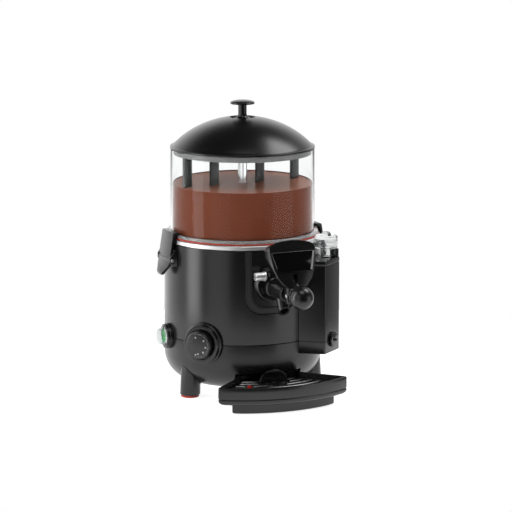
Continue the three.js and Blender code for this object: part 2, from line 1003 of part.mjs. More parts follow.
// One blade: a bar hung from the cross bar, wider where it works in the drink
function blade(distance) {
  const barMiddle = hubBottom + hubHeight - barHeight / 2;
  const bottom = tankInnerFloor + bladeFloorGap;
  const half = bladeWidth / 2;
  const wide = Math.min(half * paddleShare, (tankRadius - runGap - Math.abs(distance)) * paddleShare);
  const shape = outline([
    [-half, barMiddle],
    [-half, bottom + paddleHeight],
    [-wide, bottom + paddleHeight / 2],
    [-wide, bottom],
    [wide, bottom],
    [wide, bottom + paddleHeight / 2],
    [half, bottom + paddleHeight],
    [half, barMiddle],
  ]);
  const bar = forward(shape, -bladeThickness / 2, bladeThickness / 2);
  const pitch = distance > 0 ? bladePitch : bladePitch - 180;
  return moved(moved(bar, spinZ(pitch)), shift(distance, 0, 0));
}

function mixerFrame() {
  const top = hubBottom + hubHeight;
  const hub = turned([[0, hubBottom], [hubRadius, hubBottom], [hubRadius, top], [0, top]], smallFacets);
  const bar = block(-outerBlade, farOuterBlade, -barWidth / 2, barWidth / 2, top - barHeight, top);
  const blades = [-outerBlade, -innerBlade, farInnerBlade, farOuterBlade].map(blade);
  const bore = rod(shaftRadius + seatGap, [0, 0, hubBottom - overrun], [0, 0, top - hubCap]);
  return joined(hub, bar, ...blades).subtract(bore);
}

function buildStirrer() {
  place('drive_shaft', driveShaft(), 'steel');
  place('mixer_frame', mixerFrame(), 'satinBlack').rotation.z = degrees(mixerTurn);
}

// Points of the dome's ellipse, grown inwards by a wall, from one radius in to another
function domePoints(wall, radiusFrom, radiusTo, steps) {
  const halfWidth = domeEdge / domeEdgeShare;
  const drop = 1 - Math.sqrt(1 - domeEdgeShare ** 2);
  const halfHeight = (domeTop - lidBottom - lidRimHeight) / drop;
  const rx = halfWidth - wall;
  const [from, to] = [radiusFrom, radiusTo].map((radius) => THREE.MathUtils.radToDeg(Math.acos(radius / rx)));
  return arcPoints(0, domeTop - halfHeight, rx, halfHeight - wall, from, to, steps);
}

function lidShell() {
  const steps = arcSteps + 2;
  const outer = domePoints(0, domeEdge, dimpleRadius, steps);
  const inner = domePoints(lidWall, domeEdge - lidWall, dimpleRadius + lidWall, steps).reverse();
  const hole = knobScrewRadius + seatGap;
  const shell = turned(
    [
      [domeEdge - lidWall, lidBottom],
      [lidRimRadius - lidRimRound, lidBottom],
      [lidRimRadius, lidBottom + lidRimRound],
      [lidRimRadius, lidBottom + lidRimHeight - lidRimRound],
      [lidRimRadius - lidRimRound, lidBottom + lidRimHeight],
      ...outer,
      [dimpleRadius - dimpleSlope, knobSeat],
      [hole, knobSeat],
      [hole, knobSeat - lidWall],
      [dimpleRadius, knobSeat - lidWall],
      ...inner,
    ],
    wideFacets,
  );
  return shell;
}

function lidSkirt() {
  const top = lidBottom - seatGap;
  const bottom = top - skirtDrop;
  return turned(
    [
      [skirtRadius - skirtWall, bottom],
      [skirtRadius, bottom],
      [skirtRadius, top - skirtGroove],
      [skirtRadius + skirtWall / 2, top],
      [skirtRadius - skirtWall, top],
    ],
    wideFacets,
  );
}

// The knob stands in the dome's dimple on a flared foot
function lidKnob() {
  const foot = knobSeat + seatGap;
  const capBottom = knobTop - knobCapHeight;
  const flare = knobFlare - knobStem;
  const flareTop = foot + knobFlareEdge + knobFlareHeight;
  const profile = [
    [0, foot],
    [knobFlare, foot],
    ...arcPoints(knobFlare, flareTop, flare, knobFlareHeight, -90, -180, arcSteps),
    [knobStem, capBottom],
    [knobRadius - padBevel, capBottom],
    [knobRadius, capBottom + padBevel],
    ...arcPoints(0, capBottom + padBevel * 2, knobRadius, knobCapHeight - padBevel * 2, 20, 90, arcSteps),
  ];
  const bore = rod(knobScrewRadius + seatGap, [0, 0, foot - overrun], [0, 0, foot + knobScrewLength]);
  return turned(profile, midFacets).subtract(bore);
}

function knobScrew() {
  const under = knobSeat - lidWall - seatGap;
  const end = knobSeat + knobScrewLength;
  return turned(
    [
      [0, under - knobScrewRadius],
      [knobScrewHead, under - knobScrewRadius],
      [knobScrewHead, under],
      [knobScrewRadius, under],
      [knobScrewRadius, end],
      [0, end],
    ],
    pinFacets,
  );
}

function buildLid() {
  place('lid_shell', lidShell(), 'satinBlack');
  place('lid_skirt', lidSkirt(), 'greyPlastic');
  place('lid_knob', lidKnob(), 'satinBlack');
  place('knob_screw', knobScrew(), 'steel');
}

// The body's curve as a cutter for a piece in a side group, with its facets where the body has them
function upright(radius, azimuth) {
  return moved(drum(radius, -bodyTop, bodyTop), spinZ(-azimuth));
}

function thermostatBezel() {
  const face = bodyRadius + bezelStand;
  const well = bodyRadius + dialBack - runGap;
  const ring = turnedForward(
    [
      [dialShaft + runGap, bodyRadius - bezelRadius],
      [bezelRadius, bodyRadius - bezelRadius],
      [bezelRadius, bodyRadius + bezelBase],
      [bezelStepRadius, bodyRadius + bezelBase],
      [bezelStepRadius - dialEdge / 2, face],
      [dialWell, face],
      [dialWell, well],
      [dialShaft + runGap, well],
    ],
    midFacets,
  ).subtract(upright(bodyRadius + seatGap, dialAzimuth));
  const sleeve = turnedForward(
    [
      [sleeveRadius - sleeveWall, bodyRadius - sleeveDepth],
      [sleeveRadius, bodyRadius - sleeveDepth],
      [sleeveRadius, well - seatGap],
      [sleeveRadius - sleeveWall, well - seatGap],
    ],
    smallFacets,
  );
  return ring.add(sleeve);
}

function thermostatBody() {
  const front = bodyRadius - sleeveDepth - seatGap;
  const half = thermostatWidth / 2;
  const box = block(-half, half, -front, -front + thermostatDepth, -half, half);
  const shaft = rod(dialShaft, [0, -front + overrun, 0], [0, -bodyRadius - dialBack + runGap, 0]);
  return box.add(shaft);
}

function thermostatKnob() {
  const back = bodyRadius + dialBack;
  const face = bodyRadius + dialStand;
  return turnedForward(
    [
      [0, back],
      [dialRadius - dialEdge, back],
      [dialRadius, back + dialEdge],
      [dialRadius - dialEdge / 2, face - dialEdge],
      [dialRadius - dialEdge * 1.5, face],
      [0, face],
    ],
    midFacets,
  );
}

function buildThermostat() {
  const side = sideGroup(dialAzimuth);
  place('thermostat_bezel', thermostatBezel(), 'satinBlack', side).position.z = dialHeight;
  place('thermostat_body', thermostatBody(), 'steel', side).position.z = dialHeight;
  place('thermostat_knob', thermostatKnob(), 'satinBlack', side).position.z = dialHeight;
}

function switchBezel() {
  const face = bodyRadius + switchStand;
  const ring = turnedForward(
    [
      [switchBore, bodyRadius - switchRadius],
      [switchRadius, bodyRadius - switchRadius],
      [switchRadius, face - switchEdge],
      [switchRadius - switchEdge, face],
      [switchBore, face],
    ],
    midFacets,
  ).subtract(upright(bodyRadius + seatGap, switchAzimuth));
  const sleeve = turnedForward(
    [
      [switchBore, bodyRadius - switchSleeveDepth],
      [switchBore + switchSleeve, bodyRadius - switchSleeveDepth],
      [switchBore + switchSleeve, face - switchEdge],
      [switchBore, face - switchEdge],
    ],
    smallFacets,
  );
  return ring.add(sleeve);
}

function switchBody() {
  const front = bodyRadius - switchSleeveDepth - seatGap;
  const half = switchBlock;
  const rockerBack = bodyRadius + switchStand - runGap - rockerHeight;
  const boss = rod(rockerRadius - switchEdge, [0, -front, 0], [0, -rockerBack + rockerPivot, 0], smallFacets);
  const ridge = rod(rockerPivot, [0, -front, 0], [0, -rockerBack + seatGap, 0]);
  return joined(block(-half, half, -front, -front + switchBlockDepth, -half, half), boss, ridge);
}

function switchRocker() {
  const face = bodyRadius + switchStand - runGap;
  const puck = turnedForward(
    [
      [0, face - rockerHeight],
      [rockerRadius - switchEdge, face - rockerHeight],
      [rockerRadius, face - rockerHeight + switchEdge],
      [rockerRadius, face - switchEdge],
      [rockerRadius - switchEdge, face],
      [0, face],
    ],
    smallFacets,
  );
  const groove = rod(
    rockerRadius * 2,
    [-rockerRadius - overrun, -face - rockerRadius * 2 + switchEdge, 0],
    [rockerRadius + overrun, -face - rockerRadius * 2 + switchEdge, 0],
    wideFacets,
  );
  return puck.subtract(groove);
}

function switchCap() {
  const seat = bodyRadius + switchStand + seatGap;
  const inner = capRadius - capWall;
  const dome = (capReach - seat) / 2;
  const waist = capReach - dome;
  return turnedForward(
    [
      [inner, seat],
      [capFlange, seat],
      [capFlange, seat + capWall],
      [capRadius, seat + capWall * 2],
      ...arcPoints(0, waist, capRadius, dome, 0, 90, arcSteps),
      ...arcPoints(0, waist, inner, dome - capWall, 90, 0, arcSteps),
    ],
    smallFacets,
  );
}

function buildSwitch() {
  const side = sideGroup(switchAzimuth);
  place('switch_bezel', switchBezel(), 'glossBlack', side).position.z = switchHeight;
  place('switch_body', switchBody(), 'greyPlastic', side).position.z = switchHeight;
  place('switch_rocker', switchRocker(), 'green', side).position.z = switchHeight;
  place('switch_cap', switchCap(), 'clear', side).position.z = switchHeight;
}

// Plan of the filler column, from the body out to its face
function columnPlan(inset) {
  const root = bodyRadius - columnRootDepth;
  const face = columnReach - inset;
  return roundedShape([
    [-columnHalfRoot + inset, -root, 0],
    [-columnHalfFace + inset, -face, columnBevel],
    [columnHalfFace - inset, -face, columnBevel],
    [columnHalfRoot - inset, -root, 0],
  ]);
}

function columnHousing() {
  const top = columnTop - collarHeight;
  const outer = raised(columnPlan(0), columnBottom, top);
  const chamber = raised(columnPlan(columnWall), columnBottom + columnWall, top + overrun);
  const groove = raised(columnPlan(-overrun), seamHeight - grooveHeight / 2, seamHeight + grooveHeight / 2);
  const spared = raised(columnPlan(grooveDepth), columnBottom, top);
  const plugHole = rod(drainStem + seatGap, [0, -bodyRadius, seamHeight], [0, -columnReach - overrun, seamHeight], smallFacets);
  return outer
    .subtract(chamber)
    .subtract(groove.subtract(spared))
    .subtract(plugHole)
    .subtract(upright(bodyRadius + seatGap, columnAzimuth));
}

function columnCollar() {
  const bottom = columnTop - collarHeight + seatGap;
  const lid = raised(columnPlan(0), bottom, columnTop);
  const corner = columnHalfFace - postInset;
  const face = columnReach - postInset;
  const post = block(corner - postWidth, corner, -face, -face + postDepth, columnTop - overrun, columnTop + postHeight);
  const neck = upPipe(cupNeckRadius - cupWall, cupOffset, bottom - overrun, columnTop + overrun, midFacets);
  return lid.add(post).subtract(neck).subtract(upright(bodyRadius + seatGap, columnAzimuth));
}

function fillerCup() {
  const bottom = columnTop + seatGap;
  const floor = bottom + cupNeckHeight;
  const top = floor + cupHeight;
  return turned(
    [
      [cupNeckRadius - cupWall, bottom],
      [cupNeckRadius, bottom],
      [cupNeckRadius, floor - cupWall],
      [cupRadius, floor],
      [cupRadius, top],
      [cupRadius - cupWall, top],
      [cupRadius - cupWall, floor + cupWall],
      [cupNeckRadius - cupWall, floor],
    ],
    midFacets,
  );
}

function fillerCap() {
  const seat = columnTop + seatGap * 2 + cupNeckHeight + cupHeight;
  const top = seat + capHeight;
  return turned(
    [
      [0, seat + cupWall],
      [cupRadius - cupWall * 2, seat + cupWall],
      [cupRadius - cupWall * 2, seat - capRim],
      [cupRadius - cupWall - seatGap, seat - capRim],
      [cupRadius - cupWall - seatGap, seat],
      [cupRadius, seat],
      [cupRadius, top - cupWall / 2],
      [cupRadius - cupWall / 2, top],
      [capDome, top],
      ...arcPoints(0, top, capDome, capDomeHeight, 20, 90, arcSteps),
    ],
    midFacets,
  );
}

// Water way from the jacket out to the column: down to the drain, and up beside it to the cup
function levelPipe() {
  const height = jacketFloor + pipeRise;
  const top = columnTop - collarHeight - seatGap;
  const pipes = (radius, extra) => {
    const feed = rod(radius, [0, -jacketRadius + extra, height], [0, -cupCentre, height], smallFacets);
    const link = rod(radius, [0, -cupCentre, height], [cupOffset, -cupCentre, height], smallFacets);
    const drain = upPipe(radius, 0, seamHeight - radius, height + radius, smallFacets);
    const riser = upPipe(radius, cupOffset, height - radius, top + extra, smallFacets);
    return joined(feed, link, drain, riser);
  };
  return pipes(pipeRadius, 0).subtract(pipes(pipeBore, overrun));
}

// A round upright at the column's pipe line, this far beside its middle
function upPipe(radius, beside, bottom, top, facets) {
  return rod(radius, [beside, -cupCentre, bottom], [beside, -cupCentre, top], facets);
}

function drainPlug() {
  const seat = columnReach + seatGap;
  const face = seat + drainStand;
  const inner = cupCentre + pipeRadius + seatGap;
  return turnedForward(
    [
      [0, inner],
      [drainStem, inner],
      [drainStem, seat],
      [drainRadius, seat],
      [drainRadius, face - padBevel],
      [drainRadius - padBevel, face],
      [drainPinRadius, face],
      [drainPinRadius, face + drainPinLength],
      [0, face + drainPinLength],
    ],
    smallFacets,
  );
}

function buildColumn() {
  const side = sideGroup(columnAzimuth);
  place('column_housing', columnHousing(), 'satinBlack', side);
  place('column_collar', columnCollar(), 'satinBlack', side);
  place('level_pipe', levelPipe(), 'steel', side);
  place('drain_plug', drainPlug(), 'glossBlack', side).position.z = seamHeight;
  place('filler_cup', fillerCup(), 'clear', side).position.set(cupOffset, -cupCentre, 0);
  place('filler_cap', fillerCap(), 'clear', side).position.set(cupOffset, -cupCentre, 0);
}

// Latch lever seen along its pin: reach from the axis and height
function leverOutline() {
  const hookBottom = bowlBottom + bowlFlangeHeight + seatGap;
  const hookTop = hookBottom + latchHookHeight;
  const hookEnd = latchShoulderReach - latchHookLength;
  const inner = bowlFlangeRadius + runGap * 2;
  return outline([
    [hookEnd, hookBottom],
    [hookEnd, hookTop - latchBend],
    [hookEnd + latchBend, hookTop],
    [latchShoulderReach - latchBend, hookTop],
    [latchShoulderReach, hookTop - latchBend],
    [latchKneeReach, latchKneeHeight],
    [latchReach, latchTip + latchThickness],
    [latchReach - latchBend, latchTip],
    [latchReach - latchThickness, latchTip],
    [latchKneeReach - latchThickness, latchKneeHeight],
    [rimRadius + runGap * 2, rimTop],
    [inner, hookBottom],
  ]);
}

// The lever's grip narrows to a rounded tip below its pin
function gripOutline() {
  const half = latchWidth / 2;
  return roundedShape([
    [-half, latchKneeHeight, latchTongueRound],
    [-latchTipHalf, latchTip, latchTipRound],
    [latchTipHalf, latchTip, latchTipRound],
    [half, latchKneeHeight, latchTongueRound],
    [half, lidBottom, 0],
    [-half, lidBottom, 0],
  ]);
}

function latchLever() {
  const half = latchWidth / 2;
  const plate = forward(leverOutline(), -half, half).intersect(across(gripOutline(), 0, latchReach));
  const [x, z] = [latchPivotReach, latchPivotHeight];
  const boss = rod(latchBoss, [x, -half, z], [x, half, z], smallFacets);
  const bore = rod(latchPinRadius + seatGap, [x, -latchWidth, z], [x, latchWidth, z], pinFacets);
  return plate.add(boss).subtract(bore);
}

function latchBracket() {
  const half = latchWidth / 2 + earGap;
  const [x, z] = [latchPivotReach, latchPivotHeight];
  const ear = outline([
    [bodyTopRadius - overrun, earBottom],
    [x, earBottom],
    [x + latchBoss, z - latchBoss],
    [x + latchBoss, z + latchBoss],
    [bodyTopRadius + bracketSheet, earTop],
    [bodyTopRadius - overrun, earTop],
  ]);
  const ears = [-1, 1].map((side) => {
    const [near, far] = [side * half, side * (half + earWidth)];
    return forward(ear, Math.min(near, far), Math.max(near, far));
  });
  const body = bodySolid(seatGap);
  const sheet = bodySolid(seatGap + bracketSheet)
    .subtract(body)
    .intersect(block(0, bodyRadius * 2, -half - earWidth, half + earWidth, earBottom, earTop));
  const bore = rod(latchPinRadius + seatGap, [x, -latchWidth, z], [x, latchWidth, z], pinFacets);
  return joined(sheet, ...ears).subtract(bore).subtract(body);
}

function latchPin() {
  const end = latchWidth / 2 + earGap + earWidth + seatGap;
  const [x, z] = [latchPivotReach, latchPivotHeight];
  const shank = rod(latchPinRadius, [x, -end, z], [x, end, z], pinFacets);
  const heads = [-end - rivetHeadHeight, end].map((start) =>
    rod(rivetHead, [x, start, z], [x, start + rivetHeadHeight, z], pinFacets),
  );
  return joined(shank, ...heads);
}

function buildLatches() {
  for (const [side, turn] of [['left', 180], ['right', 0]]) {
    const latch = sideGroup(turn);
    place(`latch_bracket_${side}`, latchBracket(), 'satinBlack', latch);
    place(`latch_pin_${side}`, latchPin(), 'steel', latch);
    place(`latch_lever_${side}`, latchLever(), 'satinBlack', latch);
  }
}

// Tap pieces are turned about the barrel's axis, which runs forwards at the tap's height
function riser() {
  const z = barrelRadius;
  const shape = outline([
    [-riserBack, 0],
    [-riserBack, z + riserBoss],
    [-pivotForward + riserBoss, pivotRise + riserBoss],
    [-pivotForward, pivotRise + riserBoss],
    [-pivotForward, pivotRise - riserBoss],
    [-barrelEnd + seatGap, z + endCapThickness],
    [-barrelEnd + seatGap, 0],
  ]);
  const boss = rod(riserBoss, [-riserWidth / 2, -pivotForward, pivotRise], [riserWidth / 2, -pivotForward, pivotRise], smallFacets);
  return across(shape, -riserWidth / 2, riserWidth / 2).add(boss);
}

function spoutAxis() {
  const lean = degrees(spoutLean);
  const end = new THREE.Vector3(0, -Math.sin(lean), -Math.cos(lean));
  return { start: new THREE.Vector3(0, -spoutStart, 0), end };
}

function spoutRod(radius, length) {
  const { start, end } = spoutAxis();
  return rod(radius, start.toArray(), start.clone().addScaledVector(end, length).toArray(), smallFacets);
}

// Everything beyond the spout's slanted mouth
function mouthCut() {
  const { start, end } = spoutAxis();
  const centre = start.addScaledVector(end, spoutMouthDrop / Math.cos(degrees(spoutLean)));
  const size = spoutMouthDrop * 2;
  const slab = block(-size, size, -size, size, -size, 0);
  return moved(moved(slab, tiltX(-spoutMouthTilt)), shift(centre.x, centre.y, centre.z));
}

function tapBody() {
  const shoulder = sleeveEnd + tapGasketThickness + seatGap * 2;
  const shell = turnedForward(
    [
      [0, inletEnd],
      [inletRadius, inletEnd],
      [inletRadius, shoulder],
      [flangeRadius, shoulder],
      [flangeRadius, shoulder + flangeThickness],
      [barrelBaseRadius, shoulder + flangeThickness],
      [barrelBaseRadius, barrelBase],
      [barrelStepRadius, barrelBase + barrelRim],
      [barrelRadius, barrelEnd - barrelRim * 2],
      [barrelRadius + barrelRim / 2, barrelEnd - barrelRim],
      [barrelRadius + barrelRim / 2, barrelEnd],
      [0, barrelEnd],
    ],
    midFacets,
  );
  const seat = shoulder + flangeThickness / 2;
  const chamber = turnedForward(
    [
      [0, inletEnd - overrun],
      [inletBore, inletEnd - overrun],
      [inletBore, seat],
      [chamberRadius, seat],
      [chamberRadius, barrelEnd + overrun],
      [0, barrelEnd + overrun],
    ],
    midFacets,
  );
  const pivotBore = rod(pivotPinRadius + seatGap, [-riserWidth, -pivotForward, pivotRise], [riserWidth, -pivotForward, pivotRise], smallFacets);
  return joined(shell, riser(), spoutRod(spoutRadius, spoutMouthDrop * 3).subtract(mouthCut()))
    .subtract(chamber)
    .subtract(spoutRod(spoutRadius - spoutWall, spoutMouthDrop * 3))
    .subtract(pivotBore);
}

function tapGasket() {
  const start = sleeveEnd + seatGap;
  return turnedForward(
    [
      [inletRadius + seatGap, start],
      [tapGasketRadius, start],
      [tapGasketRadius, start + tapGasketThickness],
      [inletRadius + seatGap, start + tapGasketThickness],
    ],
    smallFacets,
  );
}

// The ring that clamps the tap's flange, open in front so that the barrel stands in a dark well
function tapRingNut() {
  const floor = bodyTopRadius - recessDepth - recessStepDepth + seatGap;
  const flangeFace = sleeveEnd + tapGasketThickness + flangeThickness + seatGap * 3;
  const inner = ringRadius - ringWall;
  const ring = turnedForward(
    [
      [flangeRadius + ringRise + seatGap, floor - ringRadius / 2],
      [ringBaseRadius, floor - ringRadius / 2],
      [ringBaseRadius, ringFront - ringSlope],
      [ringRadius, ringFront - padBevel],
      [ringRadius - padBevel, ringFront],
      [inner, ringFront],
      [inner, flangeFace + ringLip],
      [ringBore + ringRise, flangeFace + ringLip],
      [ringBore + ringRise, flangeFace],
      [flangeRadius + ringRise + seatGap, flangeFace],
    ],
    midFacets,
  );
  const right = -clampScrewLeft + clampScrewLength + seatGap + ringLugWidth;
  const front = -ringFront - ringLugForward;
  const top = clampScrewRise + ringLugHeight / 2;
  const lug = block(right - ringLugWidth, right, front, -flangeFace - ringLip, top - ringLugHeight, top);
  const bore = rod(clampScrewShank + seatGap, [-ringRadius, -clampScrewForward, clampScrewRise], [0, -clampScrewForward, clampScrewRise]);
  return ring.add(lug).subtract(bore).subtract(drum(floor, -bodyRadius, bodyRadius));
}

function clampScrew() {
  const collar = clampScrewRadius + padBevel;
  const screw = turned(
    [
      [0, 0],
      [clampScrewRadius - padBevel, 0],
      [clampScrewRadius, padBevel],
      [clampScrewRadius, clampScrewLength - clampScrewCollar],
      [collar, clampScrewLength - clampScrewCollar],
      [collar, clampScrewLength],
      [clampScrewShank, clampScrewLength],
      [clampScrewShank, clampScrewLength + ringLugWidth],
      [0, clampScrewLength + ringLugWidth],
    ],
    smallFacets,
  );
  const reach = clampScrewRadius * 2;
  const half = clampScrewSlot / 2;
  const slot = block(-half, half, -reach, reach, -overrun, clampScrewSlot);
  const lying = new THREE.Matrix4().makeRotationY(degrees(90));
  const seat = shift(-clampScrewLeft, -clampScrewForward, clampScrewRise);
  return moved(moved(screw.subtract(slot), lying), seat);
}

function tapEndCap() {
  const seat = barrelEnd + seatGap;
  return turnedForward(
    [
      [plungerStem + seatGap, seat - endCapDepth],
      [chamberRadius - seatGap, seat - endCapDepth],
      [chamberRadius - seatGap, seat],
      [barrelRadius, seat],
      [barrelRadius, seat + endCapThickness],
      [plungerStem + seatGap, seat + endCapThickness],
    ],
    smallFacets,
  );
}

function plungerSeat() {
  return sleeveEnd + tapGasketThickness + seatGap * 2 + flangeThickness / 2 + seatGap;
}

function plunger() {
  const start = plungerSeat() + plungerSealThickness + seatGap;
  const tongueStart = pivotForward - tongueLength / 2;
  const tongueEnd = pivotForward + tongueLength / 2;
  const body = turnedForward(
    [
      [0, start],
      [plungerHead, start],
      [plungerHead, start + plungerHeadLength],
      [plungerStem, start + plungerHeadLength],
      [plungerStem, tongueStart + overrun / 2],
      [0, tongueStart + overrun / 2],
    ],
    smallFacets,
  );
  const half = tongueWidth / 2;
  const tongue = block(-half, half, -tongueEnd, -tongueStart, -tongueDown, tongueUp);
  const slotHalf = linkPinRadius + runGap;
  const slotTop = tongueUp - slotHalf;
  const slot = roundedShape([
    [-pivotForward - slotHalf, -slotHalf, slotHalf / 2],
    [-pivotForward + slotHalf, -slotHalf, slotHalf / 2],
    [-pivotForward + slotHalf, slotTop, slotHalf / 2],
    [-pivotForward - slotHalf, slotTop, slotHalf / 2],
  ]);
  return body.add(tongue).subtract(across(slot, -tongueWidth, tongueWidth, arcSteps - 2));
}

function plungerSeal() {
  const start = plungerSeat();
  return turnedForward(
    [
      [0, start],
      [plungerHead, start],
      [plungerHead, start + plungerSealThickness],
      [0, start + plungerSealThickness],
    ],
    smallFacets,
  );
}

class SpringPath extends THREE.Curve {
  constructor(radius, start, end, turns) {
    super();
    Object.assign(this, { radius, start, end, turns });
  }

  getPoint(t) {
    const angle = t * this.turns * Math.PI * 2;
    const along = this.start + (this.end - this.start) * t;
    return new THREE.Vector3(this.radius * Math.cos(angle), -along, this.radius * Math.sin(angle));
  }
}

function plungerSpring() {
  const headEnd = plungerSeat() + plungerSealThickness + plungerHeadLength + seatGap;
  const start = headEnd + springWire + seatGap;
  const end = barrelEnd + seatGap - endCapDepth - springWire - seatGap;
  const section = new THREE.Shape(
    arcPoints(0, 0, springWire, springWire, 0, 360 - 360 / springSides, springSides - 1).map(
      ([x, y]) => new THREE.Vector2(x, y),
    ),
  );
  return solidFrom(
    new THREE.ExtrudeGeometry(section, {
      steps: springTurns * springStepsPerTurn,
      extrudePath: new SpringPath(springRadius, start, end, springTurns),
    }),
  );
}

// The shield leans back at its top: x across, y up its face from its top edge, z out of its face
function leaned(solid) {
  return moved(moved(solid, tiltX(90 - shieldLean)), shift(0, -shieldTopForward, shieldTopHeight - tapHeight));
}

function shieldOutline(inset) {
  const half = shieldHalf - inset;
  const arch = arcPoints(0, 0, half, shieldArch - inset / 2, 12, 168, arcSteps + 1);
  const foot = shieldFoot - inset / 2;
  const length = shieldLength - inset / 2;
  const left = shieldSideShares.map(([across, down]) => [-half * across, -length * down]);
  const right = shieldSideShares.map(([across, down]) => [half * across, -length * down]).reverse();
  return outline([...arch, ...left, [-foot, -length], [foot, -length], ...right]);
}

// The shield's depth: deep behind the label, shallow below it
function shieldSide(setback) {
  const top = shieldArch + overrun;
  const bottom = -shieldLength - overrun;
  return outline([
    [top, -setback],
    [top, -shieldDepth],
    [-shieldDepth / 2, -shieldDepth],
    [-shieldLength / 2, -shieldShallow - setback],
    [bottom, -shieldShallow - setback],
    [bottom, -setback],
  ]);
}

function shieldBlank(inset) {
  const front = raised(shieldOutline(inset), -shieldDepth * 2, overrun);
  return front.intersect(across(shieldSide(inset), -shieldHalf * 2, shieldHalf * 2));
}

function shieldCavity() {
  return raised(shieldOutline(shieldWall), -shieldDepth * 2, -shieldWall);
}

function cheek(side) {
  const near = riserWidth / 2 + cheekSlotGap;
  const edges = [side * near, side * (near + cheekWidth)].sort((a, b) => a - b);
  const shape = roundedShape([
    [-pivotForward + cheekHalf, -cheekDrop, cheekHalf / 2],
    [-pivotForward + cheekHalf, pivotRise + cheekHalf, cheekHalf / 2],
    [-pivotForward - cheekHalf, pivotRise + cheekHalf, 0],
    [-pivotForward - cheekHalf * 2, pivotRise, 0],
    [-pivotForward - cheekHalf * 2, pivotRise / 2, 0],
    [-pivotForward - cheekHalf, 0, 0],
    [-pivotForward - cheekHalf, -cheekDrop, cheekHalf / 2],
  ]);
  return across(shape, edges[0], edges[1], arcSteps - 2);
}

function ballCentre() {
  return [0, -ballForward, ballRise];
}

// Where the shield's foot ends, on the middle of its thickness
function footPoint() {
  const lean = degrees(shieldLean);
  const down = shieldLength - shieldFoot / 2;
  const y = -shieldTopForward - down * Math.sin(lean) + (shieldShallow / 2) * Math.cos(lean);
  const z = shieldTopHeight - tapHeight - down * Math.cos(lean) - (shieldShallow / 2) * Math.sin(lean);
  return [0, y, z];
}

function sphere(radius) {
  const geometry = new THREE.SphereGeometry(radius, midFacets, midFacets / 2);
  geometry.rotateX(Math.PI / 2);
  geometry.translate(...ballCentre());
  return solidFrom(geometry);
}

function studRod(radius, from, to) {
  const start = new THREE.Vector3(...footPoint());
  const way = new THREE.Vector3(...ballCentre()).sub(start);
  const length = way.length();
  way.normalize();
  const at = (distance) => start.clone().addScaledVector(way, distance).toArray();
  return rod(radius, at(from), at(length - ballRadius + to), smallFacets);
}

function handleShield() {
  const shell = leaned(shieldBlank(0).subtract(shieldCavity()));
  const neck = studRod(ballNeck, 0, ballRadius / 2);
  const slot = raised(
    roundedShape([
      [-shieldSlotWidth / 2, -shieldSlotDrop - shieldSlotLength / 2, shieldSlotWidth / 4],
      [shieldSlotWidth / 2, -shieldSlotDrop - shieldSlotLength / 2, shieldSlotWidth / 4],
      [shieldSlotWidth / 2, -shieldSlotDrop + shieldSlotLength / 2, shieldSlotWidth / 4],
      [-shieldSlotWidth / 2, -shieldSlotDrop + shieldSlotLength / 2, shieldSlotWidth / 4],
    ]),
    -shieldDepth,
    overrun,
  );
  const cheeks = [-1, 1].map(cheek);
  const front = leaned(block(-shieldHalf, shieldHalf, -shieldLength * 2, shieldLength, -shieldWall / 2, shieldLength));
  const pivotBore = rod(pivotPinRadius + seatGap, [-shieldHalf, -pivotForward, pivotRise], [shieldHalf, -pivotForward, pivotRise]);
  const linkBore = rod(linkPinRadius + seatGap, [-shieldHalf, -pivotForward, 0], [shieldHalf, -pivotForward, 0]);
  return joined(shell, neck)
    .subtract(leaned(slot))
    .add(joined(...cheeks).subtract(front))
    .subtract(joined(sphere(ballRadius + seatGap), studRod(studRadius + seatGap, 0, ballRadius)))
    .subtract(joined(pivotBore, linkBore));
}

function labelPlate() {
  const shape = roundedShape([
    [-labelHalfBottom, -labelDrop - labelHeight, labelThickness],
    [labelHalfBottom, -labelDrop - labelHeight, labelThickness],
    [labelHalfTop, -labelDrop, labelThickness],
    [-labelHalfTop, -labelDrop, labelThickness],
  ]);
  return leaned(raised(shape, seatGap, seatGap + labelThickness, arcSteps - 2));
}

function ballKnob() {
  return sphere(ballRadius).subtract(studRod(studRadius + seatGap, 0, studDepth + seatGap));
}

function crossPin(radius, height) {
  return rod(radius, [-pinReach, -pivotForward, height], [pinReach, -pivotForward, height]);
}

function buildTap() {
  const tap = new THREE.Group();
  tap.position.z = tapHeight;
  machine.add(tap);
  place('tap_body', tapBody(), 'satinBlack', tap);
  place('tap_gasket', tapGasket(), 'silicone', tap);
  place('tap_ring_nut', tapRingNut(), 'satinBlack', tap).position.z = ringRise;
  place('clamp_screw', clampScrew(), 'steel', tap).position.z = ringRise;
  place('tap_end_cap', tapEndCap(), 'satinBlack', tap);
  place('plunger', plunger(), 'steel', tap);
  place('plunger_seal', plungerSeal(), 'silicone', tap);
  place('plunger_spring', plungerSpring(), 'steel', tap);
  place('handle_shield', handleShield(), 'satinBlack', tap);
  place('label_plate', labelPlate(), 'glossBlack', tap);
  place('ball_knob', ballKnob(), 'satinBlack', tap);
  place('ball_stud', studRod(studRadius, seatGap, studDepth), 'steel', tap);
  place('handle_pin', crossPin(pivotPinRadius, pivotRise), 'steel', tap);
  place('link_pin', crossPin(linkPinRadius, 0), 'steel', tap);
}

